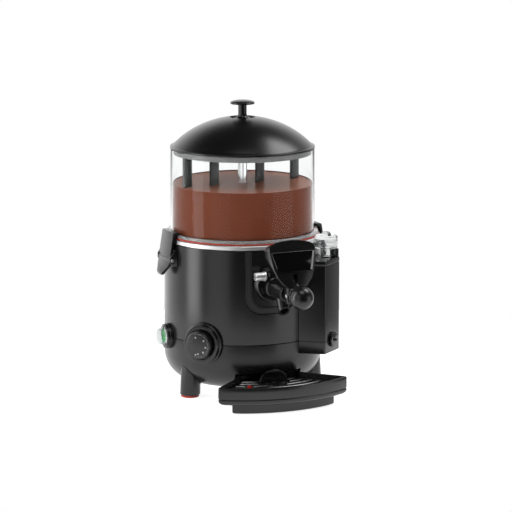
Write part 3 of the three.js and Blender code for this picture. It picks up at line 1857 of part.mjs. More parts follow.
// A solid skinned over outlines with equally many points, one above the other
function lofted(layers) {
  const count = layers[0].points.length;
  const corners = layers.flatMap(({ points, height }) => points.map(([x, y]) => [x, y, height])).flat();
  const faces = [];
  for (let layer = 0; layer + 1 < layers.length; layer += 1) {
    for (let i = 0; i < count; i += 1) {
      const [a, b] = [layer * count + i, layer * count + ((i + 1) % count)];
      faces.push([a, b, b + count], [a, b + count, a + count]);
    }
  }
  const last = (layers.length - 1) * count;
  faces.push(...capFaces(layers[0].points).map((face) => face.reverse()));
  faces.push(...capFaces(layers[layers.length - 1].points).map((face) => face.map((i) => i + last)));
  const geometry = new THREE.BufferGeometry();
  geometry.setAttribute('position', new THREE.BufferAttribute(new Float32Array(corners), 3));
  geometry.setIndex(faces.flat());
  return solidFrom(geometry);
}

function capFaces(points) {
  const contour = points.map(([x, y]) => new THREE.Vector2(x, y));
  const faces = THREE.ShapeUtils.triangulateShape(contour, []);
  const outline = THREE.ShapeUtils.area(contour);
  const first = THREE.ShapeUtils.area(faces[0].map((i) => contour[i]));
  return outline * first < 0 ? faces.map((face) => [...face].reverse()) : faces;
}

// Plan of the tray: a front arc about the machine's axis, flanks at 45 degrees and a narrow back
function trayPoints(inset) {
  const radius = trayRadius - inset;
  const half = trayBackHalf - inset;
  const offset = Math.sqrt(trayRadius ** 2 - trayCornerX ** 2) - trayCornerX + inset * Math.SQRT2;
  const cornerX = (Math.sqrt(2 * radius ** 2 - offset ** 2) - offset) / 2;
  const turn = THREE.MathUtils.radToDeg(Math.asin(cornerX / radius));
  const arc = arcPoints(0, 0, radius, radius, -90 - turn, -90 + turn, trayArcSteps);
  const corners = arc.map(([x, y], i) => [x, y, i === 0 || i === trayArcSteps ? trayCornerRound : 0]);
  const back = trayBack + inset;
  const waist = half + offset;
  const outline = [...corners, [half, -waist, 0], [half, -back, 0], [-half, -back, 0], [-half, -waist, 0]];
  return roundedShape(outline).getPoints(arcSteps - 2).slice(0, -1).map(({ x, y }) => [x, y]);
}

function trayLayers(levels) {
  return lofted(levels.map(([inset, height]) => ({ points: trayPoints(inset), height })));
}

function dripTray() {
  const bottom = trayTierBottom;
  const outer = trayLayers([
    [trayUnderRound, bottom],
    [trayUnderRound / 3, bottom + trayUnderRound / 4],
    [0, bottom + trayUnderRound],
    [0, trayLineHeight],
    [trayLineDepth, trayLineHeight],
    [trayLineDepth, trayLineHeight + trayLineDepth * 2],
    [0, trayLineHeight + trayLineDepth * 2],
    [0, trayRim - trayRimBevel],
    [trayRimBevel, trayRim],
  ]);
  const inner = trayLayers([
    [trayWall + grilleLedge, bottom + trayFloorThickness],
    [trayWall + grilleLedge, grilleTop - grilleThickness - seatGap],
    [trayWall, grilleTop - grilleThickness - seatGap],
    [trayWall, trayRim - trayRimBevel],
    [trayWall - trayRimBevel, trayRim + overrun],
  ]);
  return outer.subtract(inner);
}

// The stand under the tray keeps its front up
function trayStandSolid() {
  const corner = Math.sqrt(standRadius ** 2 - standHalf ** 2);
  const turn = THREE.MathUtils.radToDeg(Math.asin(standHalf / standRadius));
  const plan = (inset) => {
    const radius = standRadius - inset;
    const arc = arcPoints(0, 0, radius, radius, -90 - turn, -90 + turn, trayArcSteps);
    const side = standHalf - inset;
    const waist = corner - standFlank + inset / 2;
    const half = trayBackHalf - inset;
    const back = waist - (standHalf - trayBackHalf);
    return [...arc, [side, -waist], [half, -back], [-half, -back], [-side, -waist]];
  };
  const top = trayTierBottom - seatGap;
  return lofted([
    { points: plan(padBevel), height: 0 },
    { points: plan(0), height: padBevel },
    { points: plan(0), height: top },
  ]);
}

// Arc slots between the ribs, in rows, kept clear of the frame, the boss, the float and the tab
function grilleSlots() {
  const low = grilleTop - grilleThickness - overrun;
  const high = grilleTop + overrun;
  const ends = [-ribFar, ...ribAzimuths, ribFar];
  const sectors = [];
  for (let row = 0; row < slotRows; row += 1) {
    const outer = slotOuter - row * slotPitch;
    const inner = outer - slotWidth;
    const margin = THREE.MathUtils.radToDeg(ribWidth / 2 / ((outer + inner) / 2));
    for (let i = 0; i + 1 < ends.length; i += 1) {
      const [from, to] = [ends[i] + margin - 90, ends[i + 1] - margin - 90];
      const far = arcPoints(0, 0, outer, outer, from, to, arcSteps - 2);
      const near = arcPoints(0, 0, inner, inner, to, from, arcSteps - 2);
      sectors.push(raised(outline([...far, ...near]), low, high));
    }
  }
  const inside = trayLayers([
    [trayWall + seatGap + grilleFrame, low],
    [trayWall + seatGap + grilleFrame, high],
  ]);
  const spared = joined(
    rod(bossRadius + ribWidth / 2, [0, -bossForward, low], [0, -bossForward, high], midFacets),
    rod(floatBossRadius, [...floatPlace(), low], [...floatPlace(), high], smallFacets),
    block(-tabRadius, tabRadius, -tabFront - ribWidth / 2, -tabFront + tabThickness + ribWidth / 2, low, high),
  );
  return joined(...sectors).intersect(inside).subtract(spared);
}

function floatPlace() {
  const turn = degrees(floatAzimuth);
  return [floatDistance * Math.sin(turn), -floatDistance * Math.cos(turn)];
}

function dripGrille() {
  const bottom = grilleTop - grilleThickness;
  const plate = trayLayers([
    [trayWall + seatGap, bottom],
    [trayWall + seatGap, grilleTop],
  ]);
  const boss = rod(bossRadius, [0, -bossForward, bottom], [0, -bossForward, grilleTop + bossRise], smallFacets);
  const centre = tabTop - tabRadius;
  const disc = rod(tabRadius, [0, -tabFront, centre], [0, -tabFront + tabThickness, centre], midFacets);
  const tab = disc.subtract(block(-tabRadius * 2, tabRadius * 2, -trayRadius, 0, 0, bottom + seatGap));
  const hole = rod(floatEye, [...floatPlace(), 0], [...floatPlace(), trayRim], smallFacets);
  return joined(plate, boss, tab).subtract(grilleSlots()).subtract(hole);
}

function floatIndicator() {
  const bottom = trayTierBottom + trayFloorThickness + seatGap;
  return turned(
    [
      [0, bottom],
      [floatDisc, bottom],
      [floatDisc, bottom + floatDiscHeight],
      [floatStem, bottom + floatDiscHeight],
      [floatStem, floatTop - padBevel],
      [floatStem - padBevel, floatTop],
      [0, floatTop],
    ],
    pinFacets,
  );
}

function buildTray() {
  place('drip_tray', dripTray(), 'satinBlack');
  place('tray_stand', trayStandSolid(), 'satinBlack');
  place('drip_grille', dripGrille(), 'satinBlack');
  const [x, y] = floatPlace();
  place('float_indicator', floatIndicator(), 'red').position.set(x, y, 0);
}

function cableGland() {
  const seat = bodyRadius + seatGap;
  const nose = bodyRadius + glandStand;
  return turnedForward(
    [
      [glandBore, bodyRadius - glandRadius],
      [glandThread, bodyRadius - glandRadius],
      [glandThread, seat],
      [glandRadius, seat],
      [glandRadius, nose],
      [glandNoseRadius, nose],
      [glandNoseRadius - padBevel, nose + glandNose],
      [glandBore, nose + glandNose],
    ],
    smallFacets,
  );
}

function buildGland() {
  const side = sideGroup(glandAzimuth);
  place('cable_gland', cableGland(), 'satinBlack', side).position.z = glandHeight;
}

buildBody();
buildInside();
buildBowl();
buildStirrer();
buildLid();
buildThermostat();
buildSwitch();
buildColumn();
buildLatches();
buildTap();
buildTray();
buildGland();

// The origin is under the middle of the whole machine's box
machine.position.x = (capSideReach - latchReach) / 2;
machine.position.y = (handleReach - glandReach) / 2;

export default group;
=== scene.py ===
"""Looks of the hot chocolate dispenser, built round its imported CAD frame."""

import json
import math

import bmesh
import bpy
from mathutils import Matrix, Vector

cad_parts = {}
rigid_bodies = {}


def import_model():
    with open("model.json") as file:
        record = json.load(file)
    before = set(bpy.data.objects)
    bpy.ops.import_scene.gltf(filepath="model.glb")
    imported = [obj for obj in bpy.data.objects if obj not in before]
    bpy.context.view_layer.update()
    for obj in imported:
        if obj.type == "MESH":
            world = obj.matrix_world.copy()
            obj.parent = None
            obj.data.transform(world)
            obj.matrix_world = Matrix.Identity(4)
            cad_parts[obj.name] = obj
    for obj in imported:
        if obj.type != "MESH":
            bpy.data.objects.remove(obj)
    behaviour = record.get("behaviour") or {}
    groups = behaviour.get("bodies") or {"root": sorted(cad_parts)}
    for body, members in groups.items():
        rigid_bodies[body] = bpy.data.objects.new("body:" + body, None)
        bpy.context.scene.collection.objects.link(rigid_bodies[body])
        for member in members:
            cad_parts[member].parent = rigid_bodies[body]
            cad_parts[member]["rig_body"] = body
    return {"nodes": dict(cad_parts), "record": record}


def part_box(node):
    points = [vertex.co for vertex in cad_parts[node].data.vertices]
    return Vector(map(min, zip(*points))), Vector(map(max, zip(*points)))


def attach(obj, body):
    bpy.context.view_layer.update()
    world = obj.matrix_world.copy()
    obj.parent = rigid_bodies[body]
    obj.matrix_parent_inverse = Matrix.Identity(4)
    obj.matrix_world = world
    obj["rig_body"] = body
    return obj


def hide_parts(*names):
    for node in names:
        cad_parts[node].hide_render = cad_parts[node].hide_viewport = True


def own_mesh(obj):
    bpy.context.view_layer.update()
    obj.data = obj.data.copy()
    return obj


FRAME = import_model()

# Drawing is in millimetres from the machine's own axis; meshes are made in the frame's metres
MM = 0.001
ROUND_STEPS = 160
SMALL_STEPS = 64
ARC_STEPS = 6
SMOOTH_ANGLE = 32


def save_size():
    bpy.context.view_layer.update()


save_size()

AXIS = sum(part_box("bowl"), Vector()) / 2
AXIS.z = 0
MACHINE = Matrix.Translation(AXIS) @ Matrix.Scale(MM, 4)


class Span:
    """Where a CAD node lies, in millimetres from the machine's axis."""

    def __init__(self, node):
        low, high = (MACHINE.inverted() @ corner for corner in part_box(node))
        self.left, self.front, self.bottom = low
        self.right, self.back, self.top = high
        self.radius = (self.right - self.left) / 2
        self.middle = (low + high) / 2


def side(azimuth, height=0):
    """The place of a piece on the body's side: its own -Y looks outwards."""
    return at(0, 0, height) @ Matrix.Rotation(math.radians(azimuth), 4, "Z")


# Outlines


def arc(centre, radii, start, end, steps=ARC_STEPS):
    """Points of an arc, angles in degrees."""
    turns = (math.radians(start + (end - start) * i / steps) for i in range(steps + 1))
    return [(centre[0] + radii[0] * math.cos(t), centre[1] + radii[1] * math.sin(t)) for t in turns]


def rounded(corners, closed=True, steps=ARC_STEPS):
    """Corner points with true arcs where a corner gives a third value, its radius."""
    points = []
    count = len(corners)
    for i, corner in enumerate(corners):
        here = Vector(corner[:2])
        radius = corner[2] if len(corner) > 2 else 0
        if radius == 0 or (not closed and i in (0, count - 1)):
            points.append(tuple(here))
            continue
        back = (Vector(corners[i - 1][:2]) - here).normalized()
        ahead = (Vector(corners[(i + 1) % count][:2]) - here).normalized()
        half = back.angle(ahead) / 2
        centre = here + (back + ahead).normalized() * radius / math.sin(half)
        start = here + back * radius / math.tan(half) - centre
        end = here + ahead * radius / math.tan(half) - centre
        swing = math.atan2(start.cross(end), start.dot(end))
        for step in range(steps + 1):
            points.append(tuple(centre + Matrix.Rotation(swing * step / steps, 2) @ start))
    return points


# Meshes


def turned(profile, steps=ROUND_STEPS):
    """A solid of revolution about Z from radius and height pairs; open ends lie on the axis."""
    mesh = bmesh.new()
    verts = [mesh.verts.new((max(radius, 0), 0, height)) for radius, height in profile]
    edges = [mesh.edges.new(pair) for pair in zip(verts, verts[1:])]
    if profile[0][0] > 0:
        edges.append(mesh.edges.new((verts[-1], verts[0])))
    bmesh.ops.spin(
        mesh,
        geom=verts + edges,
        cent=(0, 0, 0),
        axis=(0, 0, 1),
        angle=math.tau,
        steps=steps,
        use_merge=True,
    )
    bmesh.ops.remove_doubles(mesh, verts=mesh.verts, dist=0.0005)
    bmesh.ops.recalc_face_normals(mesh, faces=mesh.faces)
    return mesh


def spun(corners, steps=ROUND_STEPS, closed=True):
    """A solid of revolution whose corners may be rounded."""
    return turned(rounded(corners, closed), steps)


def at(x, y, z):
    return Matrix.Translation((x, y, z))


def moved(mesh, matrix):
    mesh.transform(matrix)
    return mesh


def forward(mesh):
    """Turns a solid about Z so that its top looks along -Y."""
    return moved(mesh, Matrix.Rotation(math.pi / 2, 4, "X"))


def prism(outline, low, high, bevel=0, steps=2, keep=30):
    """An outline in x and y raised from low to high, with its sharp edges bevelled."""
    mesh = bmesh.new()
    verts = [mesh.verts.new((x, y, low)) for x, y in outline]
    face = mesh.faces.new(verts)
    top = bmesh.ops.extrude_face_region(mesh, geom=[face])
    lifted = [item for item in top["geom"] if isinstance(item, bmesh.types.BMVert)]
    bmesh.ops.translate(mesh, verts=lifted, vec=(0, 0, high - low))
    bmesh.ops.recalc_face_normals(mesh, faces=mesh.faces)
    if bevel:
        soften(mesh, bevel, steps, keep)
    return mesh


def soften(mesh, width, steps=2, keep=30):
    """Bevels every edge sharper than keep degrees."""
    limit = math.radians(keep)
    edges = [e for e in mesh.edges if len(e.link_faces) == 2 and e.calc_face_angle(0) > limit]
    bmesh.ops.bevel(
        mesh,
        geom=edges,
        offset=width,
        offset_type="OFFSET",
        segments=steps,
        profile=0.5,
        affect="EDGES",
        clamp_overlap=True,
        material=-1,
    )
    return mesh


def block(left, right, front, back, bottom, top, bevel=0):
    """A box between six planes."""
    outline = [(left, front), (right, front), (right, back), (left, back)]
    return prism(outline, bottom, top, bevel)


def sheet_across(outline, left, right, bevel=0, keep=30):
    """An outline in y and z, as thick as left to right in x."""
    mesh = prism(outline, left, right, bevel, keep=keep)
    mesh.transform(Matrix(((0, 0, 1, 0), (1, 0, 0, 0), (0, 1, 0, 0), (0, 0, 0, 1))))
    return mesh


def sheet_along(outline, near, far, bevel=0, keep=30):
    """An outline in x and z, running forwards from near to far."""
    mesh = prism(outline, near, far, bevel, keep=keep)
    return forward(mesh)


def rod(radius, start, end, steps=SMALL_STEPS, bevel=0):
    """A round bar between two points."""
    start, end = Vector(start), Vector(end)
    way = end - start
    profile = rounded([(0, 0), (radius, 0, bevel), (radius, way.length, bevel), (0, way.length)], False)
    mesh = turned(profile, steps)
    return moved(mesh, at(*start) @ way.to_track_quat("Z", "Y").to_matrix().to_4x4())


def ball(radius, centre, steps=SMALL_STEPS):
    return moved(turned(arc((0, 0), (radius, radius), -90, 90, steps // 2), steps), at(*centre))


def together(*meshes):
    """One mesh from several."""
    whole = bmesh.new()
    for part in meshes:
        data = bpy.data.meshes.new("part")
        part.to_mesh(data)
        part.free()
        whole.from_mesh(data)
        bpy.data.meshes.remove(data)
    return whole


def temporary(mesh):
    """An object for one boolean."""
    data = bpy.data.meshes.new("temporary")
    mesh.to_mesh(data)
    mesh.free()
    obj = bpy.data.objects.new("temporary", data)
    bpy.context.scene.collection.objects.link(obj)
    return obj


def combined(mesh, other, how="DIFFERENCE"):
    """The boolean of two solids; both are used up."""
    base, tool = temporary(mesh), temporary(other)
    change = base.modifiers.new("boolean", "BOOLEAN")
    change.operation, change.object, change.solver = how, tool, "EXACT"
    change.use_self = how == "UNION"
    seen = base.evaluated_get(bpy.context.evaluated_depsgraph_get())
    result = bmesh.new()
    result.from_mesh(seen.to_mesh())
    seen.to_mesh_clear()
    for obj in (base, tool):
        data = obj.data
        bpy.data.objects.remove(obj)
        bpy.data.meshes.remove(data)
    return result


def cut(mesh, *tools):
    for tool in tools:
        mesh = combined(mesh, tool)
    return mesh


def cleaned(mesh, angle=1.5):
    """Joins flat neighbours after a boolean so that bevels run clean."""
    bmesh.ops.remove_doubles(mesh, verts=mesh.verts, dist=0.002)
    bmesh.ops.dissolve_limit(mesh, angle_limit=math.radians(angle), verts=mesh.verts, edges=mesh.edges)
    return mesh


SLOTS = {part["node"]: part["material_slot"] for part in FRAME["record"]["subparts"]}


def show(name, mesh, material, node, place=Matrix.Identity(4), stands_for=True, smooth=SMOOTH_ANGLE):
    """Makes a mesh a piece of the object, riding with a CAD node's body and standing for that node."""
    mesh.transform(MACHINE @ place)
    data = bpy.data.meshes.new(name)
    mesh.to_mesh(data)
    mesh.free()
    obj = bpy.data.objects.new(name, data)
    bpy.context.scene.collection.objects.link(obj)
    data.polygons.foreach_set("use_smooth", [True] * len(data.polygons))
    data.set_sharp_from_angle(angle=math.radians(smooth))
    data.materials.append(material)
    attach(obj, FRAME["nodes"][node]["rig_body"])
    if stands_for:
        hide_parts(node)
    return obj


def piece(node, mesh, material, place=Matrix.Identity(4)):
    """Shows the finished form of one CAD node."""
    return show(f"{node}_form", mesh, material, node, place)


# Materials


class Value:
    """A node's output that can be added, multiplied and so on."""

    def __init__(self, shader, socket):
        self.shader, self.socket = shader, socket

    def maths(self, operation, *others):
        return self.shader.node("ShaderNodeMath", "Value", {}, [self, *others], operation=operation)

    def __add__(self, other):
        return self.maths("ADD", other)

    def __sub__(self, other):
        return self.maths("SUBTRACT", other)

    def __mul__(self, other):
        return self.maths("MULTIPLY", other)

    def __rmul__(self, other):
        return self.maths("MULTIPLY", other)

    def __radd__(self, other):
        return self.maths("ADD", other)


class Nodes:
    """A node tree whose nodes are made one method call at a time."""

    def __init__(self, tree):
        self.tree = tree

    def node(self, kind, output, named, ordered=(), **properties):
        made = self.tree.nodes.new(kind)
        for name, value in properties.items():
            setattr(made, name, value)
        for key, value in [*enumerate(ordered), *named.items()]:
            if isinstance(value, Value):
                self.tree.links.new(value.socket, made.inputs[key])
            else:
                made.inputs[key].default_value = value
        return Value(self, made.outputs[output])


class Shader(Nodes):
    """A material round the principled surface."""

    def __init__(self, name, **settings):
        self.material = bpy.data.materials.new(name)
        self.material.use_nodes = True
        super().__init__(self.material.node_tree)
        self.surface = next(n for n in self.tree.nodes if n.type == "BSDF_PRINCIPLED")
        for socket, value in settings.items():
            self.surface.inputs[socket.replace("_", " ")].default_value = value

    def noise(self, scale, detail=2):
        place = self.node("ShaderNodeTexCoord", "Object", {})
        return self.node("ShaderNodeTexNoise", "Fac", {"Vector": place, "Scale": scale, "Detail": detail})

    def feed(self, socket, value):
        self.tree.links.new(value.socket, self.surface.inputs[socket])
        return self

    def bumped(self, height, distance, strength=1, edge=0):
        named = {"Height": height, "Distance": distance, "Strength": strength}
        if edge:
            named["Normal"] = self.node("ShaderNodeBevel", "Normal", {"Radius": edge}, samples=4)
        return self.feed("Normal", self.node("ShaderNodeBump", "Normal", named))


def grey(level):
    return (level, level, level, 1)


def moulded(name, colour, roughness, grain=900, depth=0.00003, spread=0.06):
    """Moulded plastic with a fine grain, slightly uneven sheen and edges that catch the light."""
    shader = Shader(name, Base_Color=colour, Roughness=roughness, IOR=1.5)
    shader.bumped(shader.noise(grain, 3), depth, 0.35, 0.0007)
    shader.feed("Roughness", shader.noise(14) * spread + (roughness - spread / 2))
    return shader.material


def plastic(name, colour, roughness, **settings):
    """A smooth plastic whose polish varies slightly."""
    shader = Shader(name, Base_Color=colour, **settings)
    shader.feed("Roughness", shader.noise(70, 3) * 0.03 + roughness)
    return shader.material


def metal(name, colour, roughness):
    """Metal with an uneven sheen."""
    shader = Shader(name, Base_Color=colour, Roughness=roughness, Metallic=1)
    shader.feed("Roughness", shader.noise(60, 4) * 0.1 + (roughness - 0.05))
    return shader.material


SATIN = moulded("satin_black_plastic", grey(0.009), 0.26)
# The recess band's plastic has a coarser grain and rougher finish than satin. Its lighter colour is painted
# light on the recess's slope and along its step edge.
TEXTURED_PAINTED_LIGHT = moulded("textured_black_plastic_painted_light", grey(0.016), 0.5, grain=500, depth=0.00006)
LID_BLACK = moulded("smooth_black_plastic", grey(0.005), 0.28)
KNOB = moulded("dark_knob_plastic", grey(0.01), 0.24)
BALL_BLACK = moulded("ball_plastic", grey(0.006), 0.3)
TAP_BLACK = moulded("tap_plastic", grey(0.008), 0.2)
RIB_BLACK = moulded("grille_plastic", grey(0.008), 0.14, depth=0.00001)
GLOSS = moulded("gloss_black_plastic", grey(0.004), 0.08, depth=0.000005)
SOFT_BLACK = moulded("stirrer_plastic", grey(0.005), 0.26)
STEEL = metal("bright_steel", (0.8, 0.8, 0.81, 1), 0.42)
POLISHED = metal("polished_steel", (0.6, 0.6, 0.61, 1), 0.14)
DULL_STEEL = metal("dull_steel", (0.56, 0.56, 0.57, 1), 0.3)
SILVER = metal("silver_trim", grey(0.8), 0.45)
SILICONE = moulded("orange_red_silicone", (0.62, 0.055, 0.025, 1), 0.45)
GREY = moulded("grey_plastic", grey(0.13), 0.5)
BAR_BLACK = plastic("glossy_bar_plastic", grey(0.012), 0.22, IOR=2.7)
GREEN = plastic("green_lamp", (0.03, 0.42, 0.1, 1), 0.2, IOR=1.5)
RED = plastic("red_float", (0.62, 0.015, 0.01, 1), 0.28, IOR=1.5)
WHITE = plastic("white_print", grey(0.6), 0.5, IOR=1.5)
CLEAR = plastic("clear_plastic", (0.98, 0.99, 0.985, 1), -0.01, IOR=1.12, Transmission_Weight=1)
MILKY = plastic("thick_clear_plastic", (0.86, 0.87, 0.87, 1), 0.12, IOR=1.4, Transmission_Weight=0.75)
CAP_CLEAR = plastic("switch_cap_plastic", (0.74, 0.76, 0.76, 1), 0.03, IOR=1.25, Transmission_Weight=0.97)
CUP_CLEAR = plastic("cup_plastic", (0.8, 0.81, 0.81, 1), 0.01, IOR=1.17, Transmission_Weight=1)


def chocolate(name, colour, depth, ior):
    """A thick drink whose colour drifts a little as it is stirred."""
    shader = Shader(name, Base_Color=colour, Roughness=0.2, IOR=ior)
    swirl = shader.noise(7, 3)
    darker, lighter = ((*(share * level for level in colour[:3]), 1) for share in (0.9, 1.1))
    named = {"Fac": swirl, "Color1": darker, "Color2": lighter}
    shader.feed("Base Color", shader.node("ShaderNodeMixRGB", "Color", named))
    shader.bumped(shader.noise(30, 2), depth, 0.3)
    return shader.material


CHOCOLATE = chocolate("drinking_chocolate", (0.13, 0.036, 0.019, 1), 0.00002, 1.1)
# The drink's top layer is a lighter copy of the chocolate: painted light standing in for light that reaches
# the surface under the lid.
PAINTED_LIT_SURFACE = chocolate("drinking_chocolate_painted_lit_surface", (0.36, 0.15, 0.1, 1), 0.0002, 1.05)

# The frame's own sizes

UPPER, LOWER = Span("upper_shell"), Span("lower_shell")
BOWL, TANK, LID, SKIRT = Span("bowl"), Span("product_tank"), Span("lid_shell"), Span("lid_skirt")
BODY_RADIUS = UPPER.radius
SEAM = (UPPER.bottom + LOWER.top) / 2
SEAT_GAP = 0.3
SHELL_WALL = 3
BODY_TAPER = 1.7
BOTTOM_ROUND = 46
TOP_RADIUS = BODY_RADIUS - BODY_TAPER


def body_drum(radius, bottom=-20, top=260):
    """The body's curve as a cutter."""
    return turned([(0, bottom), (radius, bottom), (radius, top), (0, top)])


def body_outside(growth):
    """The outside of the whole body, grown all round."""
    corner = (BODY_RADIUS - BOTTOM_ROUND, LOWER.bottom + BOTTOM_ROUND)
    radius = BOTTOM_ROUND + growth
    curve = arc(corner, (radius, radius), -90, 0, 24)
    wall = [(BODY_RADIUS + growth, SEAM), (TOP_RADIUS + growth, UPPER.top)]
    return turned([(0, LOWER.bottom - growth), *curve, *wall, (0, UPPER.top)])


# Body

POCKET_HALF = 55.4
POCKET_BACK = 103.2
POCKET_TOP = 47.4
SERVICE_HOLE = BODY_RADIUS - BOTTOM_ROUND - 18.2
RECESS_HALF = 42
RECESS_BOTTOM = 142
RECESS_CORNER = 27
RECESS_DEPTH = 1.3
RECESS_STEP = 10.5
RECESS_STEP_DEPTH = 2.2
NOTCH_HALF = 2.5
TAP_HEIGHT = Span("tap_end_cap").middle.z


def lower_shell():
    corner = (BODY_RADIUS - BOTTOM_ROUND, LOWER.bottom + BOTTOM_ROUND)
    inner = BOTTOM_ROUND - SHELL_WALL
    outside = arc(corner, (BOTTOM_ROUND, BOTTOM_ROUND), -90, 0, 28)
    inside = arc(corner, (inner, inner), 0, -90, 28)
    rim = rounded([outside[-1], (BODY_RADIUS, LOWER.top, 0.9), (BODY_RADIUS - SHELL_WALL, LOWER.top)], False)
    low = LOWER.bottom
    shell = turned([(SERVICE_HOLE, low), *outside, *rim[1:], *inside, (SERVICE_HOLE, low + SHELL_WALL)])
    wide = POCKET_HALF + SHELL_WALL
    walls = block(-wide, wide, -140, -POCKET_BACK + SHELL_WALL, 0, POCKET_TOP + SHELL_WALL)
    shell = combined(shell, combined(walls, body_outside(-0.05), "INTERSECT"), "UNION")
    return cut(shell, block(-POCKET_HALF, POCKET_HALF, -150, -POCKET_BACK, -5, POCKET_TOP))


def recess_prism(inset, top):
    half, bottom = RECESS_HALF - inset, RECESS_BOTTOM + inset
    corner = RECESS_CORNER - inset / 2
    outline = rounded([(-half, bottom, corner), (half, bottom, corner), (half, top), (-half, top)], steps=16)
    return sheet_along(outline, 0, BODY_RADIUS + 10)


def recess_cutter(inset, depth):
    return cut(recess_prism(inset, UPPER.top + 10), body_drum(TOP_RADIUS - depth))


def recess_band(near, far, low, high):
    """A patch of the recess between two insets, from one radius to another, with a coarser grain and painted
    lighter than the body as painted light.
    """
    bottom, top = RECESS_BOTTOM - 5, UPPER.top - 1.5
    band = cut(recess_prism(near, top), recess_prism(far, top + 5))
    sleeve = [(low, bottom), (high, bottom), (high, UPPER.top), (low, UPPER.top)]
    return combined(band, turned(sleeve), "INTERSECT")


def upper_shell():
    lip = TOP_RADIUS - 6.5
    profile = rounded(
        [
            (BODY_RADIUS - SHELL_WALL, UPPER.bottom),
            (BODY_RADIUS, UPPER.bottom, 0.9),
            (TOP_RADIUS, UPPER.top, 1.2),
            (lip, UPPER.top),
            (lip, UPPER.top - SHELL_WALL),
            (TOP_RADIUS - 9, UPPER.top - SHELL_WALL),
            (TOP_RADIUS - 9, RECESS_BOTTOM - 6),
            (BODY_RADIUS - SHELL_WALL, RECESS_BOTTOM - 12),
        ]
    )
    deep = RECESS_DEPTH + RECESS_STEP_DEPTH
    shell = turned(profile)
    shell = cut(shell, recess_cutter(0, RECESS_DEPTH), recess_cutter(RECESS_STEP, deep))
    notch = block(-NOTCH_HALF, NOTCH_HALF, -140, 0, RECESS_BOTTOM + 1, RECESS_BOTTOM + RECESS_STEP + 1)
    shell = cut(shell, cut(notch, body_drum(TOP_RADIUS - deep)))
    hole = rod(16.2, (0, 0, TAP_HEIGHT), (0, -150, TAP_HEIGHT))
    return cut(shell, hole)


def leg_piece(corner):
    span = Span(f"leg_{corner}")
    centre = span.middle
    radius = (span.right - span.left) / 2
    stub = spun([(0, span.bottom), (radius, span.bottom, 1), (radius, 70), (0, 70)], 96, False)
    lean = Matrix.Identity(4)
    inwards = -0.06 * centre.xy.normalized()
    lean[0][2], lean[1][2] = inwards.x, inwards.y
    stub.transform(at(centre.x, centre.y, 0) @ lean)
    piece(f"leg_{corner}", cut(stub, body_outside(SEAT_GAP)), SATIN)
    pad = Span(f"foot_pad_{corner}")
    disc = spun([(0, 0), (14.6, 0, 1.2), (14.6, pad.top, 0.4), (0, pad.top)], 96, False)
    piece(f"foot_pad_{corner}", disc, SILICONE, at(centre.x, centre.y, 0))


def build_body():
    piece("lower_shell", lower_shell(), SATIN)
    piece("upper_shell", upper_shell(), SATIN)
    floor = TOP_RADIUS - RECESS_DEPTH
    # The channel is painted lighter as painted light on the recess floor; the thin strip at the step is a
    # painted highlight along its edge.
    channel = recess_band(0.2, RECESS_STEP - 1.8, floor - 0.3, floor + 0.05)
    edge = recess_band(RECESS_STEP - 1, RECESS_STEP - 0.1, floor - 0.5, floor + 0.4)
    show("upper_shell_recess_band", together(channel, edge), TEXTURED_PAINTED_LIGHT, "upper_shell", stands_for=False)
    for corner in ("front_left", "front_right", "rear"):
        leg_piece(corner)


# Tank, bowl and drink

TANK_RADIUS = 109.5
BOWL_RADIUS, BOWL_WALL = 115, 2.6
CHOCOLATE_TOP = 331
CHOCOLATE_GAP = 0.15


def build_tank():
    skirt, floor = TANK.radius, 172
    wall, bore = 1.3, 6.2
    profile = rounded(
        [
            (bore, floor),
            (TANK_RADIUS, floor, 3),
            (TANK_RADIUS, BOWL.bottom - 2.6, 0.8),
            (skirt, BOWL.bottom - 2.6, 2),
            (skirt, UPPER.top + SEAT_GAP),
            (skirt - wall, UPPER.top + SEAT_GAP),
            (skirt - wall, BOWL.bottom - 2.6 - wall, 0.7),
            (TANK_RADIUS + 1.5, BOWL.bottom - 2.6 - wall, 1.5),
            (TANK_RADIUS + 1.5, floor - 1.5, 3),
            (9, floor - 1.5),
            (9, TANK.bottom),
            (bore, TANK.bottom),
        ]
    )
    piece("product_tank", turned(profile), STEEL)
    tube = [(bore, floor + 0.1), (7.4, floor + 0.1), (7.4, 371, 0.3), (bore, 371, 0.3)]
    show("product_tank_tube", spun(tube, 64), POLISHED, "product_tank", stands_for=False)
    gasket = Span("tank_gasket")
    bore, rim, low, top = 111.5, gasket.radius, gasket.bottom, gasket.top
    ring = spun([(bore, low), (rim, low, 0.9), (rim, top, 0.9), (bore, top)])
    piece("tank_gasket", ring, SILICONE)


def build_bowl():
    outer, inner = BOWL_RADIUS, BOWL_RADIUS - BOWL_WALL
    foot = BOWL.bottom + 4.4
    wall = rounded([(inner, foot), (outer, foot), (outer, BOWL.top, 0.5), (inner, BOWL.top, 0.5)])
    piece("bowl", turned(wall, 200), CLEAR)
    low = BOWL.bottom
    flange = rounded([(inner, low), (BOWL.radius, low, 0.8), (BOWL.radius, foot, 1.8), (inner, foot)])
    show("bowl_flange_form", turned(flange, 200), MILKY, "bowl", stands_for=False)


